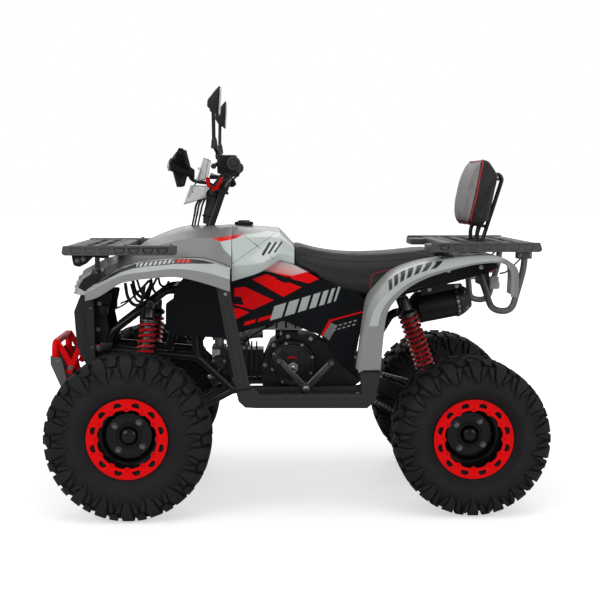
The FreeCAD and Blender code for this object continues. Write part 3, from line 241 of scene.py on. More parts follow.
def make_world():
    """Dim light on the object; white where the camera sees it, pale in reflections."""
    world = bpy.data.worlds.new("studio")
    bpy.context.scene.world = world
    world.use_nodes = True
    tree = world.node_tree
    tree.nodes.clear()
    rays = add_node(tree, "ShaderNodeLightPath", {}).outputs
    seen = add_node(tree, "ShaderNodeMath", {"operation": "MAXIMUM"}, rays["Is Camera Ray"],
                    rays["Is Transmission Ray"])
    dim, white, pale = (add_node(tree, "ShaderNodeBackground", {}, (1, 1, 1, 1), strength).outputs[0]
                        for strength in (0.3, 1.0, 0.5))
    gloss = add_node(tree, "ShaderNodeMixShader", {}, rays["Is Glossy Ray"], dim, pale)
    final = add_node(tree, "ShaderNodeMixShader", {}, seen.outputs[0], gloss.outputs[0], white)
    add_node(tree, "ShaderNodeOutputWorld", {}, final.outputs[0])


def make_floor():
    """Pale floor that turns white away from the object and keeps its shadow."""
    mesh = bpy.data.meshes.new("floor")
    mesh.from_pydata([(-30, -12, 0), (30, -12, 0), (30, 40, 0), (-30, 40, 0)], [], [(0, 1, 2, 3)])
    finish = Finish("studio_floor", (0.86, 0.86, 0.87), 0.55, Specular_IOR_Level=0.2, Emission_Color=(1, 1, 1, 1))
    far = finish.node("ShaderNodeMapRange", {"interpolation_type": "SMOOTHSTEP"}, finish.away((0, -0.1, 0)),
                      From_Min=0.7, From_Max=2.3, To_Min=0.57, To_Max=1.0)
    seen = Number(finish, finish.node("ShaderNodeLightPath", {}).outputs["Is Camera Ray"])
    finish.set("Emission Strength", seen * far.outputs["Result"])
    mesh.materials.append(finish.material)
    linked("floor", mesh)


def make_lamp(name, place, aim, size, watts):
    """Rectangular lamp turned to a point."""
    lamp = linked(name, bpy.data.lights.new(name, "AREA"))
    lamp.data.shape = "RECTANGLE"
    lamp.data.size, lamp.data.size_y = size
    lamp.data.energy = watts
    lamp.location = place
    lamp.rotation_euler = (Vector(aim) - Vector(place)).to_track_quat("-Z", "Y").to_euler()


make_camera()
make_world()
make_floor()
make_lamp("overhead", (0.0, -0.6, 3.6), (0, 0, 0.4), (4.2, 3.2), 39)
make_lamp("front_left", (-2.6, -3.4, 2.3), (0, 0, 0.5), (2.2, 1.8), 47)
make_lamp("front_right", (2.8, -3.0, 1.8), (0, 0, 0.5), (2.0, 1.8), 31)
make_lamp("back", (0.2, 3.6, 2.4), (0, 0, 0.6), (3.4, 1.6), 24)
bpy.context.scene.view_settings.view_transform = "Standard"


# Plain finishes

def moulded(name, color, roughness, **fixed):
    """Plastic with the fine grain of its mould."""
    return Finish(name, color, roughness, **fixed).grain(1500, 0.10)


NOSE_GREY = (0.26, 0.257, 0.248)
silver = moulded("silver_plastic", (0.42, 0.455, 0.44), 0.32, Coat_Weight=0.2, Coat_Roughness=0.15)
lip_grey = moulded("lip_grey_plastic", (0.27, 0.275, 0.27), 0.36, Coat_Weight=0.2, Coat_Roughness=0.15)
black_plastic = moulded("black_plastic", (0.006, 0.006, 0.0075), 0.46, Specular_IOR_Level=0.2)
guard_grey = moulded("guard_grey_plastic", (0.03, 0.0295, 0.0295), 0.5, Specular_IOR_Level=0.2)
rack_grey = moulded("rack_plastic", (0.085, 0.085, 0.087), 0.48, Specular_IOR_Level=0.3)
black_steel = Finish("black_steel", (0.01, 0.01, 0.011), 0.34, Coat_Weight=0.15, Specular_IOR_Level=0.3)
black_steel.grain(300, 0.05)
gloss_black = Finish("gloss_black_steel", (0.005, 0.005, 0.006), 0.22, Coat_Weight=0.08, Specular_IOR_Level=0.22)
gloss_black.grain(240, 0.04, spread=0.05)
red_steel = Finish("red_powder_coat", (0.9, 0.002, 0.004), 0.36, Specular_IOR_Level=0.1).grain(420, 0.06)
spring_red = Finish("spring_red", (0.6, 0.004, 0.008), 0.3, Specular_IOR_Level=0.4).grain(420, 0.05)
steel = Finish("brushed_steel", (0.42, 0.42, 0.43), 0.32, 1.0)
steel.bump(steel.noise(220, 2.0, (1, 12, 12)), 0.12)
dark_steel = Finish("dark_bolt_steel", (0.16, 0.16, 0.165), 0.3, 0.9).grain(300, 0.06)
forged = Finish("forged_steel", (0.11, 0.11, 0.115), 0.3, 0.7).grain(260, 0.06)
damper_grey = Finish("damper_steel", (0.10, 0.10, 0.105), 0.35, 0.9).grain(260, 0.05)
chrome = Finish("chrome", (0.75, 0.76, 0.78), 0.1, 1.0)
chrome.set("Roughness", chrome.noise(18).ramp(0.2, 1.0) * 0.12 + 0.06)
tube_grey = Finish("grey_tube", (0.13, 0.13, 0.135), 0.36, 0.2, Coat_Weight=0.3).grain(300, 0.05)
cast_black = Finish("cast_black", (0.016, 0.016, 0.018), 0.38, 0.35).grain(520, 0.35, 0.0006, 0.12)
cast_grey = Finish("cast_grey", (0.42, 0.42, 0.43), 0.45, 0.35).grain(480, 0.3, 0.0006, 0.12)
muffler_black = Finish("muffler_black", (0.014, 0.014, 0.015), 0.45, 0.2).grain(700, 0.22)
rubber = Finish("tyre_rubber", (0.011, 0.0115, 0.0125), 0.72, Specular_IOR_Level=0.24).grain(260, 0.22, 0.0008, 0.1)
rubber.paint((0.022, 0.023, 0.025), rubber.noise(14, 4.0).ramp(0.5, 0.8) * 0.5)
soft_rubber = Finish("soft_rubber", (0.014, 0.014, 0.015), 0.6).grain(600, 0.3)
vinyl = Finish("seat_vinyl", (0.017, 0.017, 0.018), 0.5, Specular_IOR_Level=0.28)
vinyl.bump(vinyl.cells(900), 0.28, 0.0005)
vinyl.set("Roughness", vinyl.noise(9).ramp(0.3, 0.8) * 0.12 + 0.42)
red_thread = Finish("red_piping", (0.5, 0.01, 0.015), 0.45).grain(2200, 0.4)
pad_grey = Finish("pad_front_vinyl", (0.29, 0.27, 0.275), 0.54, Specular_IOR_Level=0.3)
pad_grey.bump(pad_grey.cells(900), 0.25, 0.0005)
pad_grey.paint((0.018, 0.018, 0.019), pad_grey.along((0.98, 0, -0.2)).ramp(0.3595, 0.3601))
clear = Finish("clear_lens", (0.8, 0.82, 0.83), 0.05, Alpha=0.7)
clear.set("Roughness", clear.noise(25) * 0.06 + 0.02)
smoke = Finish("screen_panel", (0.95, 0.96, 0.96), 0.3, Transmission_Weight=0.3, IOR=1.2, Alpha=0.45)
smoke.set("Roughness", smoke.noise(12) * 0.12 + 0.14)
lamp_red = Finish("red_lens", (0.45, 0.006, 0.01), 0.14, Coat_Weight=0.6)
lamp_red.bump(lamp_red.along((0, 900, 0)).sine(), 0.3)
mirror_glass = Finish("mirror_glass", (0.82, 0.84, 0.86), 0.03, 1.0)
mirror_glass.set("Roughness", mirror_glass.noise(30) * 0.04 + 0.01)

SLOT_FINISH = {
    "black_steel": black_steel, "black_muffler": muffler_black, "red_steel": red_steel, "red_spring": spring_red,
    "damper_steel": damper_grey, "bare_steel": steel, "grey_steel": tube_grey, "chrome_lever": chrome,
    "engine_black": cast_black, "carb_metal": cast_grey, "grey_plastic": silver, "black_plastic": black_plastic,
    "rack_plastic": rack_grey, "seat_cover": vinyl, "pad_cover": pad_grey, "grip_rubber": soft_rubber,
    "tyre_rubber": rubber, "lamp_clear": clear, "screen_clear": smoke, "lamp_red": lamp_red,
}


def dress(node, finish):
    """Gives a CAD node's mesh one finish all over."""
    mesh = frame["nodes"][node].data
    for index in range(len(mesh.materials)):
        mesh.materials[index] = finish.material


for subpart in frame["record"]["subparts"]:
    dress(subpart["node"], SLOT_FINISH[subpart["material_slot"]])
for node in ("foot_guards", "bumper_guard"):
    dress(node, guard_grey)


# Shapes in millimetres

def catmull(a, b, c, d, t):
    """Point between b and c of a smooth line through a, b, c and d."""
    return tuple(0.5 * (2 * q + (r - p) * t + (2 * p - 5 * q + 4 * r - s) * t * t
                        + (3 * q - p - 3 * r + s) * t * t * t) for p, q, r, s in zip(a, b, c, d))


def smooth(points, steps=4, corners=()):
    """Smooth line through points, broken at the corners given by index."""
    breaks = [0] + sorted(corners) + [len(points) - 1]
    line = []
    for first, last in zip(breaks, breaks[1:]):
        run = points[first:last + 1]
        ends = [[2 * p - q for p, q in zip(run[0], run[1])], [2 * p - q for p, q in zip(run[-1], run[-2])]]
        run = [ends[0]] + list(run) + [ends[1]]
        for k in range(1, len(run) - 2):
            line += [catmull(*run[k - 1:k + 3], n / steps) for n in range(steps)]
    return line + [tuple(points[-1])]


def eased(before, corner, after, radius, steps):
    """Points of the curve that takes a corner's place; it uses up less than half of either side."""
    corner = Vector(corner)
    a, b = Vector(before) - corner, Vector(after) - corner
    cut = min(radius, a.length * 0.48, b.length * 0.48)
    a, b = corner + a.normalized() * cut, corner + b.normalized() * cut
    return [tuple(a.lerp(corner, n / steps).lerp(corner.lerp(b, n / steps), n / steps)) for n in range(steps + 1)]


def rounded(points, radius, steps=4):
    """Closed outline with its corners rounded off."""
    corners = zip(points[-1:] + points[:-1], points, points[1:] + points[:1])
    return [place for corner in corners for place in eased(*corner, radius, steps)]


def bent(points, radius, steps=6):
    """Line through points with its inner corners rounded."""
    corners = zip(points, points[1:], points[2:])
    inner = [place for corner in corners for place in eased(*corner, radius, steps)]
    return [tuple(points[0])] + inner + [tuple(points[-1])]


def shrunk(outline, share):
    """Outline drawn in toward its middle."""
    middle = sum((Vector(p) for p in outline), Vector([0] * len(outline[0]))) / len(outline)
    return [tuple(middle + (Vector(p) - middle) * share) for p in outline]


def circle(radius, sides=32, middle=(0, 0), turn=0.0):
    """Points on a circle, for an outline or for things set round it; turn is in radians."""
    angles = [2 * math.pi * k / sides + turn for k in range(sides)]
    return [(middle[0] + radius * math.cos(a), middle[1] + radius * math.sin(a)) for a in angles]


def aimed(place, forward, side=(0, 0, 1)):
    """Frame at a place whose z looks forward and whose y leans to a side."""
    z = Vector(forward).normalized()
    x = Vector(side).cross(z)
    if x.length < 1e-6:
        x = Vector((1, 0, 0)).cross(z) if abs(z.x) < 0.9 else Vector((0, 1, 0)).cross(z)
    x.normalize()
    y = z.cross(x)
    turn = Matrix((x, y, z)).transposed().to_4x4()
    return Matrix.Translation(Vector(place)) @ turn


def seen_from_left(y):
    """Frame at a y whose own x and y are the object's x and z, looking out to the rider's left."""
    return Matrix.Translation((0, y, 0)) @ Matrix.Rotation(math.radians(90), 4, "X")


def seen_from_front(x):
    """Frame at an x whose own x and y are the object's y and z, looking to the rear."""
    return Matrix.Translation((x, 0, 0)) @ Matrix(((0, 0, 1, 0), (1, 0, 0, 0), (0, 1, 0, 0), (0, 0, 0, 1)))


def evaluated(piece):
    """Mesh of an object with its modifiers; the object goes."""
    graph = bpy.context.evaluated_depsgraph_get()
    mesh = bpy.data.meshes.new_from_object(piece.evaluated_get(graph), depsgraph=graph)
    bpy.data.objects.remove(piece)
    return mesh


def plate_mesh(outlines, thick, bevel):
    """Flat plate with holes, its middle on z = 0."""
    curve = bpy.data.curves.new("outline", "CURVE")
    curve.dimensions, curve.fill_mode = "2D", "BOTH"
    curve.extrude, curve.bevel_depth, curve.bevel_resolution = thick / 2 - bevel, bevel, 1
    curve.offset = -bevel
    for outline in outlines:
        spline = curve.splines.new("POLY")
        spline.points.add(len(outline) - 1)
        spline.points.foreach_set("co", [n for x, y in outline for n in (x, y, 0, 1)])
        spline.use_cyclic_u = True
    return evaluated(linked("outline", curve))


def repeat_tree(name, spin):
    """Node tree that copies an object, turning about Y or stepping along a line."""
    tree = bpy.data.node_groups.new(name, "GeometryNodeTree")
    for label, kind in (("Piece", "Object"), ("Count", "Int"), ("Start", "Vector"), ("Step", "Vector"),
                        ("First", "Float"), ("Material", "Material")):
        tree.interface.new_socket(label, in_out="INPUT", socket_type="NodeSocket" + kind)
    tree.interface.new_socket("Geometry", in_out="OUTPUT", socket_type="NodeSocketGeometry")
    given = tree.nodes.new("NodeGroupInput").outputs

    def add(kind, settings, *inputs, **named):
        return add_node(tree, kind, settings, *inputs, **named).outputs

    def vector(operation, *inputs, **named):
        return add("ShaderNodeVectorMath", {"operation": operation}, *inputs, **named)[0]

    steps = vector("SCALE", given["Step"], Scale=add("GeometryNodeInputIndex", {})[0])
    if spin:
        place = given["Start"]
        turn = {"Rotation": vector("MULTIPLY", vector("ADD", steps, given["First"]), (0, 1, 0))}
    else:
        place, turn = vector("ADD", steps, given["Start"]), {}
    points = add("GeometryNodePoints", {}, Count=given["Count"], Position=place)[0]
    shape = add("GeometryNodeObjectInfo", {"transform_space": "ORIGINAL"}, Object=given["Piece"])["Geometry"]
    copies = add("GeometryNodeInstanceOnPoints", {}, Points=points, Instance=shape, **turn)[0]
    real = add("GeometryNodeRealizeInstances", {}, Geometry=copies)[0]
    coat = add("GeometryNodeSetMaterial", {}, Geometry=real, Material=given["Material"])[0]
    add("NodeGroupOutput", {}, Geometry=coat)
    return tree


SPIN, LINE = repeat_tree("repeat_round_axle", True), repeat_tree("repeat_along_line", False)


class Maker:
    """Gathers shapes in millimetres into one piece with one or more finishes."""

    def __init__(self, name, body="chassis"):
        self.name, self.body = name, body
        self.form, self.finishes = bmesh.new(), []

    def index(self, finish):
        if finish not in self.finishes:
            self.finishes.append(finish)
        return self.finishes.index(finish)

    def faces(self, points, faces, finish, frame=None):
        """Adds faces; finish may be a list, one for each face."""
        frame = frame or Matrix()
        verts = [self.form.verts.new(frame @ Vector(p)) for p in points]
        for k, corners in enumerate(faces):
            face = self.form.faces.new([verts[i] for i in corners])
            face.material_index = self.index(finish[k] if isinstance(finish, list) else finish)
        return self

    def take(self, mesh, finish, frame=None):
        """Adds a ready mesh."""
        points = [v.co for v in mesh.vertices]
        self.faces(points, [p.vertices for p in mesh.polygons], finish, frame)
        bpy.data.meshes.remove(mesh)
        return self

    def rings(self, rings, finish, frame=None, ends=True, joined=False):
        """Skin over closed rings of points; ends are closed to a fan."""
        count, total = len(rings[0]), len(rings)
        faces = []
        for k in range(total if joined else total - 1):
            a, b = k * count, (k + 1) % total * count
            faces += [(a + i, a + (i + 1) % count, b + (i + 1) % count, b + i) for i in range(count)]
        if ends and not joined:
            faces += [tuple(reversed(range(count))), tuple(range((total - 1) * count, total * count))]
        return self.faces([p for ring in rings for p in ring], faces, finish, frame)

    def sheet(self, rows, finish):
        """Open surface over rows of points; finish may be a list, one for each face of a row."""
        count = len(rows[0])
        faces = [(k * count + i, k * count + i + 1, (k + 1) * count + i + 1, (k + 1) * count + i)
                 for k in range(len(rows) - 1) for i in range(count - 1)]
        if isinstance(finish, list):
            finish = finish * (len(rows) - 1)
        return self.faces([p for row in rows for p in row], faces, finish)

    def turned(self, profile, finish, frame, sides=48):
        """Profile of (radius, height) turned about the frame's z; radius 0 closes a pole."""
        points, rows = [], []
        for r, z in profile:
            if r == 0:
                rows.append([len(points)] * sides)
                points.append((0, 0, z))
            else:
                rows.append([len(points) + k for k in range(sides)])
                points += [(x, y, z) for x, y in circle(r, sides)]
        faces = []
        for low, high in zip(rows, rows[1:]):
            for k in range(sides):
                n = (k + 1) % sides
                corners = [low[k], low[n], high[n], high[k]]
                faces.append(tuple(dict.fromkeys(corners)))
        return self.faces(points, [f for f in faces if len(f) > 2], finish, frame)

    def tube(self, points, radius, finish, sides=14, steps=6, joined=False):
        """Round bar along a smooth line; radius may be a list, one for each point."""
        radii = radius if isinstance(radius, list) else [radius] * len(points)
        line = [(*place, size) for place, size in zip(points, radii)]
        line = smooth(line, steps) if steps > 1 else line
        line, radii = [Vector(p[:3]) for p in line], [p[3] for p in line]
        ahead = [(line[min(k + 1, len(line) - 1)] - line[max(k - 1, 0)]).normalized() for k in range(len(line))]
        side = ahead[0].orthogonal().normalized()
        rings = []
        for place, forward, r in zip(line, ahead, radii):
            side = (side - forward * side.dot(forward)).normalized()
            other = forward.cross(side)
            rings.append([place + (side * math.cos(a) + other * math.sin(a)) * r
                          for a in (2 * math.pi * k / sides for k in range(sides))])
        return self.rings(rings, finish, ends=not joined, joined=joined)

    def plate(self, outlines, thick, finish, frame, bevel=0.8):
        """Flat plate with holes, centred on the frame's z = 0."""
        return self.take(plate_mesh(outlines, thick, bevel), finish, frame)

    def brick(self, low, high, finish, round_off=1.5, frame=None):
        """Block with softened edges."""
        size = [h - l for l, h in zip(low, high)]
        middle = [(h + l) / 2 for l, h in zip(low, high)]
        box = bmesh.new()
        bmesh.ops.create_cube(box, size=1.0)
        bmesh.ops.scale(box, vec=size, verts=box.verts)
        bmesh.ops.bevel(box, geom=list(box.edges), offset=min(round_off, min(size) * 0.4), segments=2,
                        profile=0.6, affect="EDGES")
        bmesh.ops.translate(box, vec=middle, verts=box.verts)
        mesh = bpy.data.meshes.new("block")
        box.to_mesh(mesh)
        box.free()
        return self.take(mesh, finish, frame)

    def hex_bolt(self, place, axis, radius, height, finish):
        """Hexagon head on a washer."""
        frame = aimed(place, axis)
        self.turned([(0, 0), (radius * 1.25, 0), (radius * 1.25, height * 0.25), (0, height * 0.25)], finish, frame, 20)
        rings = [[(x, y, z) for x, y in circle(r, 6)]
                 for r, z in ((radius, height * 0.2), (radius, height * 0.9), (radius * 0.86, height))]
        return self.rings(rings, finish, frame)

    def socket_bolt(self, place, axis, radius, height, finish):
        """Round head with a socket."""
        hole = radius * 0.52
        profile = [(radius, 0), (radius, height * 0.8), (radius * 0.88, height), (hole, height),
                   (hole, height * 0.3), (0, height * 0.25)]
        return self.turned(profile, finish, aimed(place, axis), 18)

    def repeated(self, tree, count, draw, finish, **inputs):
        """Adds copies of what draw makes, set out by a node tree."""
        single = Maker("single")
        draw(single)
        mesh = single.mesh()
        shape = linked("single", mesh)
        host = linked("copies", bpy.data.meshes.new("copies"))
        repeat = host.modifiers.new("repeat", "NODES")
        repeat.node_group = tree
        named = {item.name: item.identifier for item in tree.interface.items_tree if item.in_out == "INPUT"}
        for key, value in {"Piece": shape, "Count": count, "Material": finish.material, **inputs}.items():
            repeat[named[key]] = value
        self.take(evaluated(host), finish)
        bpy.data.objects.remove(shape)
        bpy.data.meshes.remove(mesh)
        return self

    def spun(self, count, centre, draw, finish, first=0.0):
        return self.repeated(SPIN, count, draw, finish, Start=centre, Step=(0.0, 2 * math.pi / count, 0.0), First=first)

    def row(self, count, start, step, draw, finish):
        return self.repeated(LINE, count, draw, finish, Start=start, Step=step)

    def mirror(self):
        """Adds the mirror image across the centre plane."""
        copy = bmesh.ops.duplicate(self.form, geom=self.form.verts[:] + self.form.edges[:] + self.form.faces[:])
        verts = [e for e in copy["geom"] if isinstance(e, bmesh.types.BMVert)]
        faces = [e for e in copy["geom"] if isinstance(e, bmesh.types.BMFace)]
        bmesh.ops.scale(self.form, vec=(1, -1, 1), verts=verts)
        bmesh.ops.reverse_faces(self.form, faces=faces)
        return self

    def flip(self):
        """Turns the whole into its mirror image across the centre plane."""
        bmesh.ops.scale(self.form, vec=(1, -1, 1), verts=self.form.verts)
        bmesh.ops.reverse_faces(self.form, faces=self.form.faces)
        return self

    def mesh(self):
        mesh = bpy.data.meshes.new(self.name)
        self.form.to_mesh(mesh)
        self.form.free()
        return mesh

    def done(self, slot, *nodes, sharp=35, bevel=0.0, thick=0.0, outward=True):
        """Makes the object, lets it ride on its body and stand for CAD nodes."""
        bmesh.ops.scale(self.form, vec=(MM, MM, MM), verts=self.form.verts)
        if outward:
            bmesh.ops.recalc_face_normals(self.form, faces=self.form.faces)
        mesh = self.mesh()
        for finish in self.finishes:
            mesh.materials.append(finish.material)
        mesh.polygons.foreach_set("use_smooth", [True] * len(mesh.polygons))
        mesh.set_sharp_from_angle(angle=math.radians(sharp))
        piece = linked(self.name, mesh)
        if thick:
            solid = piece.modifiers.new("thickness", "SOLIDIFY")
            solid.thickness, solid.offset = thick * MM, -1.0
        if bevel:
            edge = piece.modifiers.new("edges", "BEVEL")
            edge.width, edge.segments, edge.limit_method = bevel * MM, 2, "ANGLE"
            edge.angle_limit = math.radians(34)
        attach(piece, self.body)
        if nodes:
            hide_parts(*nodes)


# Painted finishes: stripes given in millimetres as seen from the rider's left

def thin_line(finish, start, end, width, color, mask=1.0):
    """Paints a straight line of a width."""
    run = (Vector(end) - Vector(start)).normalized() * width / 2
    aside = Vector((-run.y, run.x))
    corners = [tuple(Vector(p) + aside * s) for p, s in ((start, 1), (end, 1), (end, -1), (start, -1))]
    finish.paint(color, finish.region(corners, 0.4) * mask)


def slanted_bar(x, width, low, slope, height, lean):
    """Upright bar on a rising line, its top leaning to the rear."""
    return [(x, low + slope * x), (x + width, low + slope * (x + width)),
            (x + width + lean, low + slope * (x + width) + height), (x + lean, low + slope * x + height)]


RED = (0.9, 0.002, 0.004)
TANK_SILVER = (0.60, 0.67, 0.64)
PALE = (0.50, 0.535, 0.53)
BLACK = (0.005, 0.005, 0.006)
RED_WEDGE = [(-250, 804), (-206, 789), (-176, 804), (-82, 822.5), (-150, 817.5)]

nose_paint = moulded("nose_cover_plastic", NOSE_GREY, 0.36, Coat_Weight=0.15, Coat_Roughness=0.18)
tank_silver = moulded("tank_silver_plastic", TANK_SILVER, 0.32, Coat_Weight=0.15, Coat_Roughness=0.15)
side = tank_silver.along((0, 1, 0)).size().ramp(0.1, 0.102)
crown = tank_silver.along((-0.118, 0, 1)).ramp(0.832, 0.833)
tank_silver.paint(NOSE_GREY, (1 - side).highest(crown))
PALE_CORNER = [(-248, 804), (-213, 772), (-186, 719), (-180, 719), (-180, 812)]
nose_paint.paint(TANK_SILVER, nose_paint.region(PALE_CORNER))
nose_paint.paint(RED, nose_paint.region(RED_WEDGE))
tank_silver.paint(RED, tank_silver.region(RED_WEDGE) * side)
for start, end in (((-189, 728), (-47, 826)), ((-123, 792), (-112, 779)), ((-150, 812), (-60, 741))):
    thin_line(tank_silver, start, end, 1.2, (0.03, 0.03, 0.03), side)
shine = tank_silver.region([(-138, 744), (-74, 792), (-44, 784), (-96, 724)], 5) * side * 0.8
tank_silver.paint((0.78, 0.8, 0.8), shine)
for k in range(3):
    start, end = (-96 + 18 * k, 754 + 4 * k), (-72 + 18 * k, 792 + k)
    thin_line(tank_silver, start, end, 8 - 1.5 * k, (0.02, 0.02, 0.022), side)

panel_black = moulded("side_panel_plastic", (0.004, 0.005, 0.007), 0.34, Specular_IOR_Level=0.12)
for color, corners in (
        (RED, [(-106, 704), (-39, 741), (77, 681), (38, 662), (-10, 680)]),
        (RED, [(-128, 679), (-85, 695), (23, 655), (-33, 625)]),
        (RED, [(-182, 652), (-151, 657), (-62, 615), (-126, 586), (-183, 601)]),
        (BLACK, [(-190, 627), (-161, 626), (-154, 601), (-190, 604)]),
        (RED, [(-192, 592), (-165, 590), (-136, 578), (-192, 550)]),
        (BLACK, [(-60, 682), (-16, 688), (6, 672), (-30, 668)]),
        (RED, [(-150, 549), (-116, 558), (-120, 546), (-154, 537)]),
        (RED, [(-108, 560), (-69, 571), (-73, 559), (-112, 548)]),
        (RED, [(112, 555), (227, 585), (226, 581), (114, 550)]),
        (RED, [(82, 508), (109, 557), (115, 550), (90, 505)]),
        ((0.22, 0.23, 0.23), [(89, 506), (113, 545), (133, 537), (107, 491)])):
    panel_black.paint(color, panel_black.region(corners))
start = -74
for width in (36, 31, 26, 21, 16, 11, 7):
    panel_black.paint(PALE, panel_black.region(slanted_bar(start, width, 574, 0.3, 45, 14)))
    start += width + 9
for row in range(2):
    for k in range(5):
        x, z = 122 + 15 * k - 4 * row, 533 + 4.2 * k - 12 * row
        thin_line(panel_black, (x, z), (x + 9, z + 2.6), 4, (0.3, 0.31, 0.31))
fade = panel_black.along((0.35, 0, 1)).ramp(0.655, 0.735)
flash = panel_black.region([(-100, 706), (-39, 743), (40, 702), (-6, 690)], 2)
panel_black.paint((0.75, 0.77, 0.76), flash * fade)

ribbon_face = moulded("ribbon_face_plastic", (0.3, 0.305, 0.295), 0.34, Coat_Weight=0.15, Coat_Roughness=0.15)
ribbon_top = moulded("ribbon_top_plastic", (0.50, 0.54, 0.52), 0.32, Coat_Weight=0.15, Coat_Roughness=0.15)
STRIP = [(-578, 681, 679), (-540, 705, 697), (-505, 725, 715), (-470, 737, 726), (-437, 745, 732), (-346, 754, 740),
         (-300, 753.4, 740.6), (-266, 749, 740), (-236, 741, 739)]
for (x0, high0, low0), (x1, high1, low1) in zip(STRIP, STRIP[1:]):
    x0, x1 = x0 - 0.8, x1 + 0.8
    ribbon_top.paint(BLACK, ribbon_top.region([(x0, high0), (x1, high1), (x1, low1), (x0, low0)]))
bars = ribbon_top.along((1, 0, -0.5)).fold(0.0064).ramp(0.0022, 0.0026)
ribbon_top.paint((0.6, 0.6, 0.6), ribbon_top.region([(-458, 740), (-350, 752.6), (-350, 742.6), (-458, 731)]) * bars)
ribbon_top.paint(RED, ribbon_top.region([(-346, 752.8), (-302, 752), (-302, 743), (-346, 743)]) * bars)
arch_face = moulded("arch_face_plastic", (0.50, 0.54, 0.52), 0.34, Coat_Weight=0.15, Coat_Roughness=0.15)
arch_face.paint((0.24, 0.24, 0.23), arch_face.along((1, 0, 0)).ramp(0.575, 0.6))
arch_face.paint((0.27, 0.27, 0.262), arch_face.region([(150, 428), (260, 428), (260, 560), (150, 560)], 1.0))
arch_top = moulded("arch_top_plastic", (0.46, 0.49, 0.475), 0.42, Specular_IOR_Level=0.12)


# Wheels

LUG = 13.0
SHOULDER_LUG = [(0.13, -4.2, 0.6, 13), (0.22, -4.4, 2.0, 13), (0.31, -4.2, 3.6, 13), (0.38, -3.8, 4.4, 12.8),
                (0.44, -3.4, 4.4, 12.2), (0.49, -3.0, 3.6, 11.4), (0.54, -1.4, 3.4, 10), (0.58, 0.4, 3.4, 8.4),
                (0.615, 2.2, 3.2, 6.5)]
SHORT_LUG = [(0.17, -2.2, 2.6, 13), (0.27, -3.0, 3.0, 13), (0.345, -3.0, 3.0, 12.8), (0.39, -2.2, 2.2, 12)]
WEDGE = [(0.415, -3.9, -0.8, 12), (0.46, -4.8, -1.5, 11), (0.51, -5.4, -2.8, 9.4), (0.56, -5.6, -4.4, 7)]
CENTRE_LUG = [(-0.135, -6.6, -1.4, 12.6), (-0.06, -5.2, 0.6, 13), (0.03, -2.2, 3.4, 13), (0.115, 0.6, 6.0, 12.6)]


def carcass(radius, width):
    """Half section of the bare tyre as (radius, y), from the crown to the left bead."""
    half, crown, bead = width / 2, radius - LUG, 92.0
    wall = crown - bead
    section = [(crown, 0), (crown - 0.3, -0.42), (crown - 4, -0.73), (bead + 0.82 * wall, -0.88),
               (bead + 0.62 * wall, -0.945), (bead + 0.44 * wall, -0.945), (131, -0.82), (119, -0.705), (104, -0.675),
               (91.6, -0.65)]
    return smooth([(r, share * half) for r, share in section], 4)


def on_carcass(line, share):
    """Place and outward direction at a share of the way from the crown to a bead."""
    lengths = [math.dist(a, b) for a, b in zip(line, line[1:])]
    rest = abs(share) * sum(lengths)
    for (a, b), length in zip(zip(line, line[1:]), lengths):
        if rest <= length:
            break
        rest -= length
    t = min(1.0, rest / length)
    r, y = a[0] + (b[0] - a[0]) * t, a[1] + (b[1] - a[1]) * t
    out = Vector((-(b[1] - a[1]), b[0] - a[0])).normalized()
    sign = 1 if share >= 0 else -1
    return r, y * sign, out.x, out.y * sign


def lug(maker, line, widest, rows, offset=0.0, side=1, mirrored=False):
    """Tread block on the carcass, given by rows of (share, from, to, height), angles in degrees."""
    rings = []
    for share, start, end, height in rows:
        if mirrored:
            start, end = -end, -start
        r, y, out_r, out_y = on_carcass(line, share * side)
        ring = []
        for angle, lift in ((start - 0.4, -2), (start, height), (end, height), (end + 0.4, -2)):
            a = math.radians(angle + offset)
            reach = r + out_r * lift
            ring.append((reach * math.sin(a), max(-widest, min(widest, y + out_y * lift)), reach * math.cos(a)))
        rings.append(ring)
    maker.rings(rings, rubber)


def draw_tyre(maker, x, y, radius, width):
    """Carcass, tread blocks all round and ribs on both walls."""
    line, widest = carcass(radius, width), width / 2 - 0.3
    whole = list(reversed(line)) + [(r, -v) for r, v in line[1:]]
    centre = (x, -y, radius)
    maker.turned([(r, -v) for r, v in whole + whole[:1]], rubber, aimed(centre, (0, -1, 0)), 72)

    def blocks(single):
        for side, turn in ((1, 0), (-1, 10)):
            lug(single, line, widest, SHOULDER_LUG, turn, side)
            lug(single, line, widest, SHORT_LUG, turn + 10, side)
            lug(single, line, widest, WEDGE, turn + 10, side)
            lug(single, line, widest, WEDGE, turn + 10, side, True)
        lug(single, line, widest, CENTRE_LUG, 5)
        lug(single, line, widest, CENTRE_LUG, 15, 1, True)

    maker.spun(18, centre, blocks, rubber)
    for lift, rise in ((0.745, 1.2), (0.80, 0.9)):
        r, v, out_r, out_y = on_carcass(line, lift)
        for sign in (1, -1):
            rib = [(r - 1.6, -v * sign), (r, -(v + out_y * rise) * sign), (r + 1.6, -v * sign)]
            maker.turned(rib, rubber, aimed(centre, (0, -1, 0)), 72)


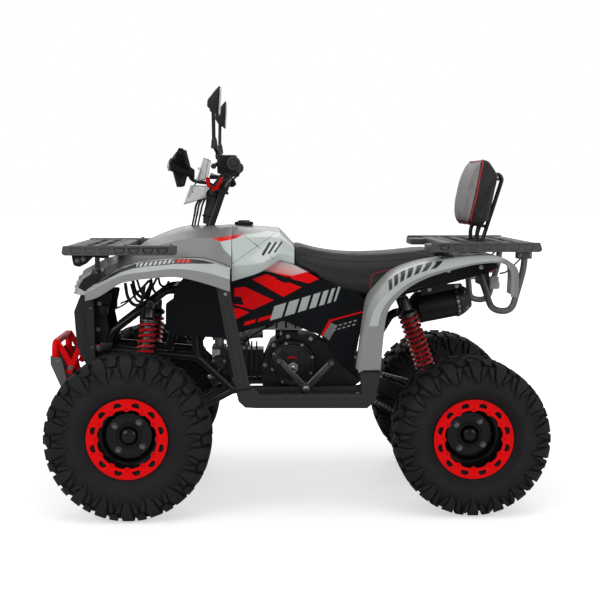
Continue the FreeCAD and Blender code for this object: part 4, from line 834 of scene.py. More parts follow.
def draw_rim(maker, x, y, radius, width):
    """Dished wheel with a domed cap and four nuts."""
    half = 0.66 * width / 2
    frame = aimed((x, -y, radius), (0, -1, 0))
    maker.turned([(0, 32), (9, 31.6), (18, 29.4), (24, 24.5), (27, 17), (28.5, 13), (33, 12), (50, 12), (64, 12.3),
                  (66.5, 12), (68.4, 9.5), (71, 1), (75, -1), (82, -1.5), (86.6, -0.5), (87.2, 3),
                  (87.2, half + 1), (91.2, half + 2.4), (91.2, -half), (86.5, -half), (86.5, -7), (64, -6.9),
                  (24, -6.8), (0, -6.5)], gloss_black, frame, 64)
    maker.turned([(33.2, 12), (34.4, 13.2), (36.6, 13.2), (37.8, 12)], gloss_black, frame, 64)
    for u, v in circle(50, 4, turn=math.radians(53)):
        maker.hex_bolt(frame @ Vector((u, v, 11.8)), (0, -1, 0), 7.4, 11, dark_steel)


def draw_ring(maker, x, y, radius, width):
    """Beadlock ring with D-shaped windows and sunk bolts."""
    frame = aimed((x, -y, radius), (0, -1, 0)) @ Matrix.Translation((0, 0, 0.69 * width / 2 + 3.3))
    bore = []
    for k in range(144):
        a = 2 * math.pi * k / 144
        reach = 85.6 - 5.6 * max(0.0, math.cos(12 * a)) ** 1.6
        bore.append((reach * math.cos(a), reach * math.sin(a)))
    outlines = [circle(117, 120), bore]
    window = rounded([(-11.5, -6.5), (11.5, -6.5), (11.5, 0.5), (6, 7), (-6, 7), (-11.5, 0.5)], 3.5, 3)
    bolts = circle(88.5, 12)
    for k, bolt in enumerate(bolts):
        a = math.radians(30 * k + 15)
        outlines.append([((101 + v) * math.cos(a) - u * math.sin(a), (101 + v) * math.sin(a) + u * math.cos(a))
                         for u, v in window])
        outlines.append(circle(5.2, 16, bolt))
    maker.plate(outlines, 6, red_steel, frame, 1.1)
    for u, v in bolts:
        maker.socket_bolt(frame @ Vector((u, v, -3)), (0, -1, 0), 5.1, 4.6, red_steel)


for part, draw, slot in (("tyre", draw_tyre, "tyre_rubber"), ("rim", draw_rim, "black_steel"),
                         ("ring", draw_ring, "red_steel")):
    for hand in ("left", "right"):
        maker = Maker(f"detailed_front_{part}_{hand}", f"wheel_front_{hand}")
        draw(maker, FRONT_X, 388, FRONT_R, 178)
        if hand == "right":
            maker.flip()
        maker.done(slot, f"front_{part}_{hand}", sharp=28, bevel=1.2 if part == "tyre" else 0)
    maker = Maker(f"detailed_rear_{part}s", "rear_axle")
    draw(maker, REAR_X, 334, REAR_R, 240)
    maker.mirror()
    maker.done(slot, f"rear_{part}s", sharp=28, bevel=1.2 if part == "tyre" else 0)


# Body shells

def rows_between(stations, steps, corners=()):
    """Rows of points set in smoothly between the given rows."""
    columns = [smooth(column, steps, corners) for column in zip(*stations)]
    return [list(row) for row in zip(*columns)]


def across(points, steps=3):
    """Straight facets across a row, each divided."""
    line = [points[0]]
    for a, b in zip(points, points[1:]):
        line += [tuple(p + (q - p) * n / steps for p, q in zip(a, b)) for n in range(1, steps + 1)]
    return line


NOSE = [
    # x, then (y, z) of centre, crown, shoulder and side edge
    (-655, (0, 698), (56, 696), (140, 668), (180, 640)),
    (-604, (0, 724), (60, 721), (150, 698), (192, 666)),
    (-565, (0, 738), (62, 735), (155, 716), (198, 690)),
    (-505, (0, 752), (66, 749), (160, 735), (205, 712)),
    (-470, (0, 781), (70, 777), (163, 752), (210, 724)),
    (-437, (0, 800), (73, 795), (167, 772), (215, 734)),
    (-346, (0, 833), (80, 826), (175, 796), (230, 746)),
    (-266, (0, 835), (84, 829), (182, 802), (238, 746)),
    (-190, (0, 839), (86, 833), (188, 799), (242, 720)),
]
TANK = [
    # x, then (y, z) of centre, crown, shoulder, side and lower edge
    (-189.2, (0, 839), (86, 833), (188, 799), (226, 724), (214, 676)),
    (-106, (0, 834), (84, 826), (180, 805), (214, 730), (204, 702)),
    (-44, (0, 829), (78, 821), (166, 803), (198, 760), (192, 740)),
    (0, (0, 781), (74, 777), (150, 768), (186, 750), (184, 726)),
]
FENDER = [
    # x, then (y, z) of shoulder and crease, and the lip's lower edge
    (-604, (360, 664), (412, 657), 634),
    (-565, (372, 690), (420, 676), 646),
    (-505, (378, 726), (424, 706), 683),
    (-470, (380, 738), (425, 714), 692),
    (-437, (382, 746), (426, 718), 697),
    (-346, (384, 755), (427, 727), 703),
    (-266, (384, 750), (427, 718), 686),
    (-190, (382, 724), (425, 697), 660),
]
REAR_ARCH = [
    # x, z of the crease, its lean from upright, lip depth, rise, inner y
    (183, 428.4, -90, 60, 6, 330), (212, 571, -78, 44, 8, 240), (232, 622, -66, 38, 12, 180),
    (262, 656, -55, 32, 15, 180), (308, 692, -38, 27, 19, 168), (372, 719, -22, 21, 16, 158),
    (455, 738, -9, 15, 11, 160), (528, 750, 2, 12, 7, 171), (592, 752, 16, 12, 5, 171),
    (624, 738, 48, 18, 4, 250), (640, 712, 74, 22, 3, 250), (640, 642, 92, 22, 2, 250),
]


def whole_row(x, points):
    """Row from the left edge over the middle to the right edge."""
    return [(x, -y, z) for y, z in reversed(points[1:])] + [(x, y, z) for y, z in points]


nose = Maker("nose_cover")
nose_rows = rows_between([whole_row(x, points) for x, *points in NOSE], 4, (3,))
nose.sheet([across(row) for row in nose_rows], nose_paint)
nose.done("grey_plastic", "nose_cowl", sharp=13, thick=3.5, bevel=1.2, outward=False)

tank = Maker("tank_shroud")
tank_rows = rows_between([whole_row(x, points) for x, *points in TANK], 5, (2,))
tank.sheet([across(row) for row in tank_rows], tank_silver)
tank.done("grey_plastic", "tank_cover", sharp=13, thick=3.5, bevel=1.2, outward=False)

nose_side = {x: side for x, _, _, _, side in NOSE}
fender_rows = []
for x, shoulder, crease, lip in FENDER:
    y, z = nose_side[x]
    fender_rows.append([(x, -y - 0.8, z), (x, -shoulder[0], shoulder[1]), (x, -crease[0], crease[1]),
                        (x, -crease[0] + 1.5, crease[1] * 0.45 + lip * 0.55), (x, -crease[0] + 4, lip)])
fender_rows = [across(row, 4) for row in rows_between(fender_rows, 5)]
fenders = Maker("front_fender_ribbons")
fenders.sheet(fender_rows, [silver] * 4 + [ribbon_top] * 4 + [ribbon_face] * 8)
fenders.mirror()
fenders.done("grey_plastic", "front_fenders", sharp=13, thick=3.5, bevel=1.4, outward=False)


def arch_row(x, z, lean, lip, rise, inner_y):
    """Row over a rear arch, from its inner edge to the lip's edge."""
    out = Vector((math.sin(math.radians(lean)), 0, math.cos(math.radians(lean))))
    outline = [(inner_y, rise), (345, rise), (382, rise * 0.62), (415, 0), (414, -lip * 0.55), (412, -lip)]
    return [tuple(Vector((x, -y, z)) + out * n) for y, n in outline]


arch_rows = rows_between([arch_row(*row) for row in REAR_ARCH], 5)
arch_line = [(row[3], row[1]) for row in arch_rows]
# Painted shade: the seven slots on the top band of each rear arch are not cut in; black paint stands for the shade
# inside them.
for k in range(7):
    low, high = 15.6 + 1.7 * k, 17.4 + 1.7 * k
    slot = []
    for place, height in ((low, 0.0), (low + 1.05, 0.0), (high + 1.05, 0.98), (high, 0.98)):
        (a, b), t = arch_line[int(place)], place - int(place)
        (c, d) = arch_line[int(place) + 1]
        crease, top = Vector(a).lerp(Vector(c), t), Vector(b).lerp(Vector(d), t)
        point = crease.lerp(top, height)
        slot.append((point.x, point.z))
    arch_top.paint(BLACK, arch_top.region(slot, 0.2))
arches = Maker("rear_fender_ribbons")
arches.sheet([across(row, 3) for row in arch_rows],
             [silver] * 3 + [arch_top] * 6 + [arch_face] * 3 + [lip_grey] * 3)
arches.mirror()
arches.done("grey_plastic", "rear_fenders", sharp=13, thick=3.5, bevel=1.4, outward=False)


# Side panels with their stripes

PANEL = [(-337, 683), (-317, 690), (-200, 668), (-106, 698), (-40, 744), (6, 730), (72, 682), (125, 660), (205, 634),
         (216, 571), (183, 430), (201, 366), (140, 420), (82, 507), (37, 523), (-32, 552), (-73, 540), (-171, 516),
         (-210, 500), (-352, 506), (-392, 534), (-391, 606), (-362, 626), (-362, 656)]
panels = Maker("side_panel_pair")
panels.plate([rounded(PANEL, 8, 3)], 4, panel_black, seen_from_left(-177.7), 1.0)
panels.mirror()
panels.done("black_plastic", "side_panels", sharp=30)


# Seat and backrest pad

def stuffed(maker, node, voxel, reach, floor_at=None):
    """Remeshes a closed form, lets it swell as cloth and caps how far it moves."""
    bmesh.ops.scale(maker.form, vec=(MM, MM, MM), verts=maker.form.verts)
    bmesh.ops.remove_doubles(maker.form, verts=maker.form.verts, dist=0.0001)
    bmesh.ops.recalc_face_normals(maker.form, faces=maker.form.faces)
    form = linked(maker.name, maker.mesh())
    remesh = form.modifiers.new("cells", "REMESH")
    remesh.mode, remesh.voxel_size = "VOXEL", voxel * MM
    mesh = evaluated(form)
    piece = linked(maker.name, mesh)
    rest = [v.co.copy() for v in mesh.vertices]
    if floor_at is not None:
        low = piece.vertex_groups.new(name="underside")
        low.add([i for i, p in enumerate(rest) if p.z < floor_at(p.x / MM) * MM], 1.0, "REPLACE")
    cloth = piece.modifiers.new("swelling", "CLOTH")
    cloth.settings.use_pressure = True
    cloth.settings.uniform_pressure_force = 4.0
    cloth.settings.effector_weights.gravity = 0.0
    cloth.settings.quality = 4
    cloth.settings.tension_stiffness = cloth.settings.compression_stiffness = 18
    cloth.settings.bending_stiffness = 1.2
    if floor_at is not None:
        cloth.settings.vertex_group_mass = "underside"
    cloth.point_cache.frame_start, cloth.point_cache.frame_end = 1, 20
    for step in range(1, 21):
        bpy.context.scene.frame_set(step)
    moved = evaluated(piece)
    bpy.context.scene.frame_set(1)
    for vertex, start in zip(moved.vertices, rest):
        shift = vertex.co - start
        if shift.length > reach * MM:
            vertex.co = start + shift.normalized() * reach * MM
    piece = linked(maker.name, moved)
    piece.data.materials.clear()
    piece.data.materials.append(maker.finishes[0].material)
    piece.data.polygons.foreach_set("use_smooth", [True] * len(piece.data.polygons))
    rounder = piece.modifiers.new("subdivision", "SUBSURF")
    rounder.levels = rounder.render_levels = 1
    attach(piece, maker.body)
    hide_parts(node)
    return piece


SEAT = [
    # x, then (y, z) of centre, edge, side and bottom
    (0.2, (0, 789), (82, 780), (126, 756), (138, 722)),
    (60, (0, 769), (96, 762), (140, 736), (150, 694)),
    (125, (0, 757), (102, 750), (148, 720), (158, 650)),
    (205, (0, 752), (106, 745), (154, 712), (164, 631)),
    (300, (0, 756), (108, 749), (154, 718), (160, 638.6)),
    (380, (0, 764), (106, 758), (148, 736), (152, 700)),
    (444, (0, 768), (100, 762), (138, 748), (142, 722)),
]


def seat_row(x, points):
    """Section of the seat, drawn in a little to leave room for the swelling."""
    inner = [(y * 0.985, z - 3) for y, z in points[:-1]] + [(points[-1][0] * 0.985, points[-1][1] + 1)]
    ring = smooth([(-y, z) for y, z in reversed(inner[1:])] + inner, 3)
    return [(x, y, z) for y, z in ring]


def seat_floor(x):
    """Height below which the seat's underside is held still."""
    stations = [(row[0], row[4][1]) for row in SEAT]
    for (x0, z0), (x1, z1) in zip(stations, stations[1:]):
        if x <= x1:
            return z0 + (z1 - z0) * (x - x0) / (x1 - x0) + 7
    return stations[-1][1] + 7


seat_form = Maker("seat_cushion")
seat_form.rings(rows_between([seat_row(x, points) for x, *points in SEAT], 3), vinyl)
seat_piece = stuffed(seat_form, "seat", 6.0, 6.0, seat_floor)

PAD = [(539, 836), (535, 885), (542, 935), (554, 985), (582, 1051), (602, 1048), (628, 1010), (632, 992),
       (592, 838), (584, 831)]
pad_form = Maker("backrest_cushion")
middle = Vector((sum(p[0] for p in PAD), sum(p[1] for p in PAD))) / len(PAD)
outline = rounded(PAD, 22, 3)
rings = []
for y, share in ((-134, 0.84), (-130, 0.91), (-120, 0.96), (-60, 0.98),
                 (60, 0.98), (120, 0.96), (130, 0.91), (134, 0.84)):
    rings.append([(middle.x + (x - middle.x) * share, y, middle.y + (z - middle.y) * share) for x, z in outline])
pad_form.rings(rings, pad_grey)
pad_piece = stuffed(pad_form, "backrest_pad", 5.0, 6.0)


# Piping laid on the swollen covers

def laid(piece, points, lift=0.6):
    """Points moved onto the surface of a piece, a little above it."""
    tree = BVHTree.FromObject(piece, bpy.context.evaluated_depsgraph_get())
    line = []
    for point in points:
        place, normal, _, _ = tree.find_nearest(Vector(point) * MM)
        line.append(tuple((place + normal * lift * MM) / MM))
    return line


def loop_round(corners, half, steps=14):
    """Loop over the left side, the top, the right side and the underside of a pad."""
    side_line = smooth(corners, 6)
    x1, z1 = side_line[-1]
    x0, z0 = side_line[0]
    left = [(x, -half, z) for x, z in side_line]
    top = [(x1, half * (2 * k / steps - 1), z1 + 30) for k in range(1, steps)]
    right = [(x, half, z) for x, z in reversed(side_line)]
    under = [(x0, half * (1 - 2 * k / steps), z0 - 30) for k in range(1, steps)]
    return left + top + right + under


piping = Maker("backrest_piping")
SEAM = [(542, 852), (547, 878), (558, 930), (569, 988), (579, 1036)]
piping.tube(laid(pad_piece, loop_round(SEAM, 150)), 2.2, red_thread, 8, 1, joined=True)
piping.done("pad_cover", sharp=40)

support = Maker("backrest_tubes")
for y in (-62, 62):
    bow = [(596, y, 792), (606, y, 822), (657, y, 985), (646, y, 1000), (628, y, 996)]
    support.tube(bent(bow, 14), 6.5, black_steel, 14, 1)
    support.tube(bent([(580, y, 792), (580, y, 826), (592, y, 850)], 12), 6.5, black_steel, 14, 1)
    support.brick((572, y - 12, 791), (612, y + 12, 797), black_steel, 1.5)
for z in (836, 985):
    x = 603 + (z - 822) * 0.313
    support.tube([(x, -62, z), (x, 62, z)], 5.5, black_steel, 14, 1)
BACKING = [(598, 852), (632, 1002), (642, 1000), (612, 850)]
support.plate([rounded(BACKING, 4, 3)], 150, rack_grey, seen_from_left(0), 2.5)
support.done("black_steel", "backrest_frame", sharp=34)

stitching = Maker("seat_piping")
for hand in (-1, 1):
    line = smooth([(234, hand * 190, 645), (238, hand * 190, 687), (252, hand * 190, 704), (300, hand * 190, 716),
                   (357, hand * 190, 726), (418, hand * 190, 738)], 6)
    stitching.tube(laid(seat_piece, line, 0.3), 1.0, red_thread, 6, 1)
    edge = smooth([(16, hand * 128, 776), (60, hand * 128, 762), (140, hand * 132, 745), (240, hand * 136, 740),
                   (360, hand * 134, 745), (430, hand * 130, 752)], 6)
    stitching.tube(laid(seat_piece, edge, 0.2), 0.9, vinyl, 6, 1)
stitching.done("seat_cover", sharp=40)


# Racks

def draw_rack(maker, low_x, high_x, low_z, half, bars, rail):
    """Rack frame with rounded corners and cross bars, and side rails with pockets along their outer faces."""
    outer = rounded([(low_x, -half + 3), (high_x, -half + 3), (high_x, half - 3), (low_x, half - 3)], 26, 5)
    edges = [low_x + 26] + bars + [high_x - 26]
    outlines = [outer]
    for a, b in zip(edges, edges[1:]):
        for low_y, high_y in ((-half + 44, -half * 0.36), (-half * 0.32, half * 0.32), (half * 0.36, half - 44)):
            outlines.append(rounded([(a + 8, low_y), (b - 8, low_y), (b - 8, high_y), (a + 8, high_y)], 6, 3))
    maker.plate(outlines, 20, rack_grey, Matrix.Translation((0, 0, low_z + 11)), 2.2)
    start, stop, count = rail
    pitch = (stop - start - 44) / count
    outline = [(start, low_z + 4), (start + 7, low_z - 3), (stop - 8, low_z - 3), (stop, low_z + 3),
               (stop - 7, low_z + 25), (start + 4, low_z + 25)]
    pockets = []
    for k in range(count):
        a = start + 22 + k * pitch
        pockets.append(rounded([(a + 9, low_z + 2), (a + pitch - 9, low_z + 2), (a + pitch - 2.5, low_z + 19),
                                (a + 2.5, low_z + 19)], 2.5, 2))
    for hand in (-1, 1):
        maker.plate([rounded(outline, 3, 2)] + pockets, 4, rack_grey, seen_from_left(hand * (half - 2)), 1.2)
        maker.plate([rounded(outline, 3, 2)], 3, rack_grey, seen_from_left(hand * (half - 8)), 0.8)
        for pocket in pockets:
            maker.plate([shrunk(pocket, 0.72)], 3, rack_grey, seen_from_left(hand * (half - 5.2)), 0.8)
    for x in bars:
        maker.brick((x - 5, -half + 60, low_z + 19.5), (x + 5, half - 60, low_z + 21.9), rack_grey, 0.8)


front_rack = Maker("front_rack_frame")
draw_rack(front_rack, -686, -512, 762, 307, [-640, -598, -556], (-685, -347, 7))
UNDER = [(-664, 762), (-658, 727), (-640, 722), (-618, 733), (-600, 752), (-566, 747), (-556, 762)]
for hand in (-1, 1):
    y0, y1 = sorted((hand * 256, hand * 300))
    front_rack.brick((-520, y0, 764), (-350, y1, 787), rack_grey, 3)
    front_rack.tube([(-604, hand * 120, 711), (-604, hand * 120, 740), (-604, hand * 120, 769)], 8, rack_grey, steps=1)
    front_rack.plate([rounded(UNDER, 6, 3)], 16, black_plastic, seen_from_left(hand * 248), 2)
    for x, z in ((-646, 742), (-628, 746)):
        front_rack.hex_bolt((x, hand * 256, z), (0, hand, 0), 6, 5, dark_steel)
    for x in (-500, -366):
        front_rack.hex_bolt((x, hand * 281, 787), (0, 0, 1), 5.5, 4.4, dark_steel)
front_rack.done("rack_plastic", "front_rack", sharp=30)
rear_rack = Maker("rear_rack_frame")
draw_rack(rear_rack, 450, 732, 770, 307, [500, 550, 600, 650, 694], (399, 733, 7))
for hand in (-1, 1):
    y0, y1 = sorted((hand * 170, hand * 300))
    rear_rack.brick((399, y0, 768.4), (458, y1, 788), rack_grey, 3)
rear_rack.done("rack_plastic", "rear_rack", sharp=30)


# Front end: headlamps, mask, bumper and guard plate

LAMP = [
    (-60, (-674, 644), (-672.7, 654), (-671, 670), (-669, 684), (-655.4, 690), (-655.4, 682), (-655.4, 668),
     (-655.4, 656), (-655.4, 644)),
    (-190, (-668, 636), (-665.5, 644), (-663, 654), (-661, 662), (-655.4, 666), (-655.4, 660), (-655.4, 652),
     (-655.4, 644), (-655.4, 636)),
    (-204, (-662, 638), (-656, 670), (-638, 694), (-608, 712), (-568, 716), (-568, 690.6), (-604.3, 667.4),
     (-604.3, 655), (-638, 637)),
    (-296, (-642, 642), (-638, 668), (-624, 690), (-602, 704), (-570, 708), (-570, 689.2), (-604.3, 666.6),
     (-604.3, 655), (-620, 641)),
]
lamp_inner = Finish("lamp_reflector", (0.62, 0.63, 0.64), 0.2, 0.3)
lamp_inner.paint((0.012, 0.012, 0.014), lamp_inner.along((0.55, 0, 1)).ramp(0.312, 0.313))
lamp_inner.set("Roughness", lamp_inner.noise(30) * 0.1 + 0.14)
lamps = Maker("headlamp_lenses")
lens = [[(x, y, z) for x, z in points] for y, *points in LAMP]
lamps.rings([shrunk(ring, 0.97) for ring in lens], lamp_inner)
for y, x, z, radius in ((-100, -667, 664, 9), (-150, -665, 656, 7), (-236, -640, 672, 10)):
    lamps.turned([(0, 6), (radius * 0.6, 5.4), (radius, 2), (radius, -6), (0, -6)], clear,
                 aimed((x, y, z), (-1, -0.2, 0.1)), 24)
lamps.mirror()
lamps.done("lamp_clear", "headlamps", sharp=24, bevel=0.8)

FACE = [(424, -640), (492, -668), (545, -672), (572, -672), (632, -650)]


def face_x(z):
    """Front of the mask at a height."""
    for (z0, x0), (z1, x1) in zip(FACE, FACE[1:]):
        if z <= z1:
            return x0 + (x1 - x0) * (z - z0) / (z1 - z0)
    return FACE[-1][1]


mask = Maker("front_mask")
GRILLE = [(-650, 632), (-672, 572), (-672, 545), (-668, 492), (-640, 424), (-592.7, 424), (-585.9, 494),
          (-618, 522), (-604, 632)]
recess = [(x + 14 if x < -630 else x, z) for x, z in GRILLE]
mask.plate([recess], 190, black_plastic, seen_from_left(0), 1.0)
for y in (-94, 94):
    mask.plate([GRILLE], 20, black_plastic, seen_from_left(y), 2.0)
louvres = [[(face_x(low) + 3, low), (face_x(low), low + 3), (face_x(high), high - 3), (face_x(high) + 3, high),
            (-650, high), (-650, low)] for low, high in ((424, 450), (462, 484), (496, 518), (530, 552))]
for louvre in louvres + [[(face_x(564), 564), (face_x(632), 632), (-618, 632), (-636, 564)]]:
    mask.plate([louvre], 166, black_plastic, seen_from_left(0), 1.4)
for low_x, high_x, low_z, high_z in ((-640, -620, 604, 628), (-646, -626, 424, 440)):
    mask.brick((low_x, -150, low_z), (high_x, 150, high_z), black_plastic, 3)
CHEEK = [(-652, 632), (-673, 580), (-666, 475), (-636, 411), (-610, 421), (-612, 602), (-618, 632)]
for y in (-152, 152):
    mask.plate([CHEEK], 4, guard_grey, seen_from_left(y), 1.2)
    raised = rounded([(-650, 612), (-664, 578), (-658, 480), (-640, 442), (-640, 560)], 4, 3)
    mask.plate([raised], 3, guard_grey, seen_from_left(y * 1.012), 1.0)
    for x, z in ((-622, 590), (-619, 470)):
        mask.socket_bolt((x, y + math.copysign(2, y), z), (0, y, 0), 4.6, 3, dark_steel)
INNER = [(-634, 430), (-634, 590), (-612, 634), (-560, 634), (-566, 604), (-578, 560), (-570, 520),
         (-582, 470), (-574, 440), (-596, 424)]
for y in (-112, 112):
    mask.plate([rounded(INNER, 8, 3)], 5, black_plastic, seen_from_left(y), 1.2)
    for x, z in ((-600, 600), (-606, 520), (-604, 456)):
        mask.hex_bolt((x, y + math.copysign(2, y), z), (0, y, 0), 5.5, 4, dark_steel)
    mask.brick((-596, min(y, y * 1.25), 566), (-572, max(y, y * 1.25), 596), black_plastic, 4)
mask.done("black_plastic", "front_grille", sharp=30)

loop = [(-590, -136, 302), (-700, -136, 345), (-734, -136, 420), (-734, -136, 482)]
loop += [(x, -y, z) for x, y, z in reversed(loop)]
bumper = Maker("front_bumper_bars")
bumper.tube(bent(loop, 26), 11, red_steel, 18, 1)
bumper.tube([(-697, -136, 346), (-697, 136, 346)], 11, red_steel, 18, 1)
STRAP_UP = [(-740, 490), (-722, 490), (-672, 402), (-690, 392)]
STRAP_BACK = [(-704, 390), (-688, 382), (-655, 458), (-590, 458), (-590, 476), (-664, 476)]
for hand in (-1, 1):
    bumper.plate([rounded(STRAP_UP, 4, 3)], 6, red_steel, seen_from_left(hand * 130), 1.2)
    bumper.plate([rounded(STRAP_BACK, 4, 3)], 6, red_steel, seen_from_left(hand * 136), 1.2)
    for x, z in ((-688, 404), (-604, 467)):
        bumper.hex_bolt((x, hand * 139, z), (0, hand, 0), 6.5, 5, dark_steel)
    low_y, high_y = sorted((hand * 142, hand * 107.8))
    for (x0, z0), (x1, z1) in (((-596, 458), (-562, 482)), ((-606, 288), (-578, 312))):
        bumper.brick((x0, low_y, z0), (x1, high_y, z1), black_steel, 2)
bumper.done("red_steel", "front_bumper", sharp=32)

skid_grey = moulded("guard_plate_plastic", (0.105, 0.11, 0.106), 0.5)
SKID = [(-748, 441), (-748, 417), (-714.3, 338.6), (-711, 340), (-745.3, 418), (-745.3, 441)]
guard = Maker("bumper_guard_plate")
guard.plate([SKID], 300, skid_grey, seen_from_left(0), 0.9)
WING = rounded([(-747, 440), (-747, 418), (-712, 340), (-692, 346), (-700, 372), (-714, 436)], 4, 3)
for y in (-148, 148):
    guard.plate([WING], 4, skid_grey, seen_from_left(y), 1.0)
    guard.hex_bolt((-722, y + math.copysign(2, y), 424), (0, y, 0), 5.5, 4, dark_steel)
RIB = [(-747.2, 430), (-747.2, 419), (-720, 356), (-719, 357), (-745.6, 419), (-745.6, 430)]
for y in range(-110, 111, 44):
    guard.plate([RIB], 18, skid_grey, seen_from_left(y), 0.4)
guard.done("black_plastic", "bumper_guard", sharp=30)


# Brake hoses and wiring in the front bay

hoses = Maker("front_hoses")
HOSES = [
    # radius, then its line on the right side
    (5.4, (-520, 112, 664), (-512, 120, 622), (-492, 130, 598), (-470, 134, 604), (-460, 128, 656)),
    (4.0, (-504, 96, 660), (-490, 104, 616), (-474, 110, 606), (-462, 104, 622), (-440, 96, 664)),
    (4.0, (-436, 120, 664), (-430, 128, 640), (-412, 124, 634), (-402, 112, 652)),
    (2.8, (-560, 108, 580), (-520, 110, 600), (-476, 106, 642), (-448, 100, 672)),
]
for hand in (-1, 1):
    for radius, *line in HOSES:
        hoses.tube([(x, y * hand, z) for x, y, z in line], radius, soft_rubber, 9, 6)
hoses.done("black_plastic", sharp=34)


# Shock absorbers

def draw_shock(body, coil, top, foot, start, length, turns):
    """Damper with an eye at either end, and its coil, which starts at a distance below the top."""
    top, foot = Vector(top), Vector(foot)
    frame, end = aimed(top, foot - top), (foot - top).length
    stop = start + length
    body.turned([(0, 6), (9, 6), (13, 12), (15, 16), (15, start - 16), (20, start - 12), (26.5, start - 6),
                 (26.5, start - 1), (18.6, start), (18.6, start + 10), (15, start + 12), (15, start + length * 0.55),
                 (12, start + length * 0.6), (6, start + length * 0.62), (6, stop - 8), (18.4, stop - 7), (18.4, stop),
                 (26.5, stop + 1), (26.5, stop + 6), (19, stop + 10), (12, stop + 14), (12, end - 9), (0, end - 6)],
                damper_grey, frame, 32)
    for place in (top, foot):
        eye = aimed(place, (0, 1, 0))
        body.turned([(6.2, -10), (12, -10), (12, 10), (6.2, 10), (6.2, -10)], damper_grey, eye, 24)
        body.turned([(6.1, -11.6), (9, -11.6), (9, 11.6), (6.1, 11.6), (6.1, -11.6)], soft_rubber, eye, 20)
    points, per_turn = [], 18
    for k in range(int(turns * per_turn) + 1):
        share = k / (turns * per_turn)
        rise = start + 4 + (length - 8) * share
        angle = 2 * math.pi * k / per_turn
        points.append(frame @ Vector((22.6 * math.cos(angle), 22.6 * math.sin(angle), rise)))
    coil.tube(points, 4.5, spring_red, 9, 1)


bodies, coils = Maker("damper_set"), Maker("coil_spring_set")
draw_shock(bodies, coils, (-440, -152, 600), (-466, -206, 355.4), 56, 150, 8.5)
draw_shock(bodies, coils, (344, -66, 624), (447, -66, 326), 70, 190, 11)
for maker, slot, node in ((bodies, "damper_steel", "shock_bodies"), (coils, "red_spring", "shock_springs")):
    maker.mirror()
    maker.done(slot, node, sharp=34)


# Handlebar group; everything here turns with the steering

GRIP_END, GRIP_ROOT = Vector((-178, -400, 1026)), Vector((-186, -200, 1028))
BAR = (GRIP_ROOT - GRIP_END).normalized()


def on_bar(distance):
    """Frame on the left grip's line: x forward, y up, z toward the middle."""
    return aimed(GRIP_END + BAR * distance, BAR)


grips = Maker("ribbed_grips", "steering")
profile = [(11.3, -3.6), (15, -4), (18.6, -2.6), (19.4, 0), (18.6, 3)]
for k in range(12):
    n = 5 + k * 8.6
    profile += [(17, n), (17, n + 4.8), (15.5, n + 5.8), (15.5, n + 7.6)]
profile += [(17, 109), (19, 111.4), (20, 113.6), (20, 115.4), (19, 117), (11.3, 117)]
grips.turned(profile + profile[:1], soft_rubber, on_bar(0), 32)
grips.turned([(0, -4), (6, -4), (9.6, -3), (11, -1), (11, 2), (0, 2)], soft_rubber, on_bar(0), 24)
grips.mirror()
grips.done("grip_rubber", "grips", sharp=40)

controls = Maker("switches_and_levers", "steering")
controls.brick((-13, -30, 121), (46, 26, 164), black_plastic, 8, on_bar(0))
controls.brick((-12, -34, 150), (10, 10, 172), black_plastic, 5, on_bar(0))
for x, y, n, size in ((-15, -8, 134, 5), (-15, -8, 152, 5), (-15, -20, 143, 4)):
    controls.brick((x, y - size, n - size), (x + 6, y + size, n + size), guard_grey, 1.6, on_bar(0))
controls.brick((14, -8, 168), (46, 18, 206), cast_black, 4, on_bar(0))
controls.brick((12, 14, 170), (50, 22, 204), black_plastic, 3, on_bar(0))
CLAMP = [(11.4, 172), (17, 172), (18, 176), (18, 190), (17, 194), (11.4, 194), (11.4, 172)]
controls.turned(CLAMP, cast_black, on_bar(0), 24)
for n in (176, 198):
    controls.socket_bolt(on_bar(n) @ Vector((31, 22, 0)), (0, 0, 1), 3, 2, dark_steel)
LEVER = [(30, 2, 170), (48, -2, 150), (56, -6, 128), (58, -8, 90), (57, -9, 50), (57, -8, 14)]
controls.tube([on_bar(0) @ Vector(p) for p in LEVER], [7, 6, 5.4, 5, 5, 5.4], black_steel, 12, 6)
controls.turned([(0, -8), (5, -7), (8, -3), (8, 3), (5, 7), (0, 8)], black_steel,
                aimed(on_bar(8) @ Vector((57, -8, 0)), BAR), 18)
SWITCH_WIRE = [(-8, -26, 142), (6, -40, 158), (30, -52, 190)]
controls.tube([on_bar(0) @ Vector(p) for p in SWITCH_WIRE], 3.2, soft_rubber, 8, 5)
controls.mirror()
THUMB = [(-226, 986), (-190, 990), (-180, 968), (-194, 958), (-222, 966)]
controls.plate([rounded(THUMB, 6, 3)], 20, black_plastic, seen_from_left(226), 3)
controls.turned([(0, -6), (9, -5), (12, 0), (12, 22), (8, 26), (0, 26)], black_plastic,
                aimed((-208, 214, 980), (0, 0.1, 1)), 22)
controls.done("black_plastic", "bar_controls", sharp=32)

mirrors = Maker("mirror_pair", "steering")
MIRROR = [(-70, -44), (-78, 0), (-64, 38), (60, 44), (74, 20), (66, -40)]
shape = rounded(MIRROR, 16, 5)
sections = []
for depth, share, drop in ((-0.2, 0.97, 0), (1.5, 1.0, 0), (4, 1.0, 0), (16, 0.74, 2), (26, 0.47, 4), (33, 0.31, 5.4),
                           (36, 0.2, 6)):
    sections.append([(-218 + 0.06 * v * share - depth, -345 + u * share, 1205 + v * share - drop) for u, v in shape])
mirrors.rings(sections, black_plastic)
glass = rounded([(u * 0.91, v * 0.9) for u, v in MIRROR], 13, 5)
mirrors.rings([[(-218 + 0.06 * v + lift, -345 + u * size, 1205 + v * size) for u, v in glass]
               for lift, size in ((0.1, 1.0), (0.9, 1.0), (1.2, 0.985))], mirror_glass)
STEM = [(-226, -256, 1046), (-230, -262, 1062), (-237, -282, 1078), (-238, -290, 1096), (-238, -306, 1140),
        (-238, -326, 1180)]
mirrors.tube(STEM, 5.5, black_steel, 14, 5)
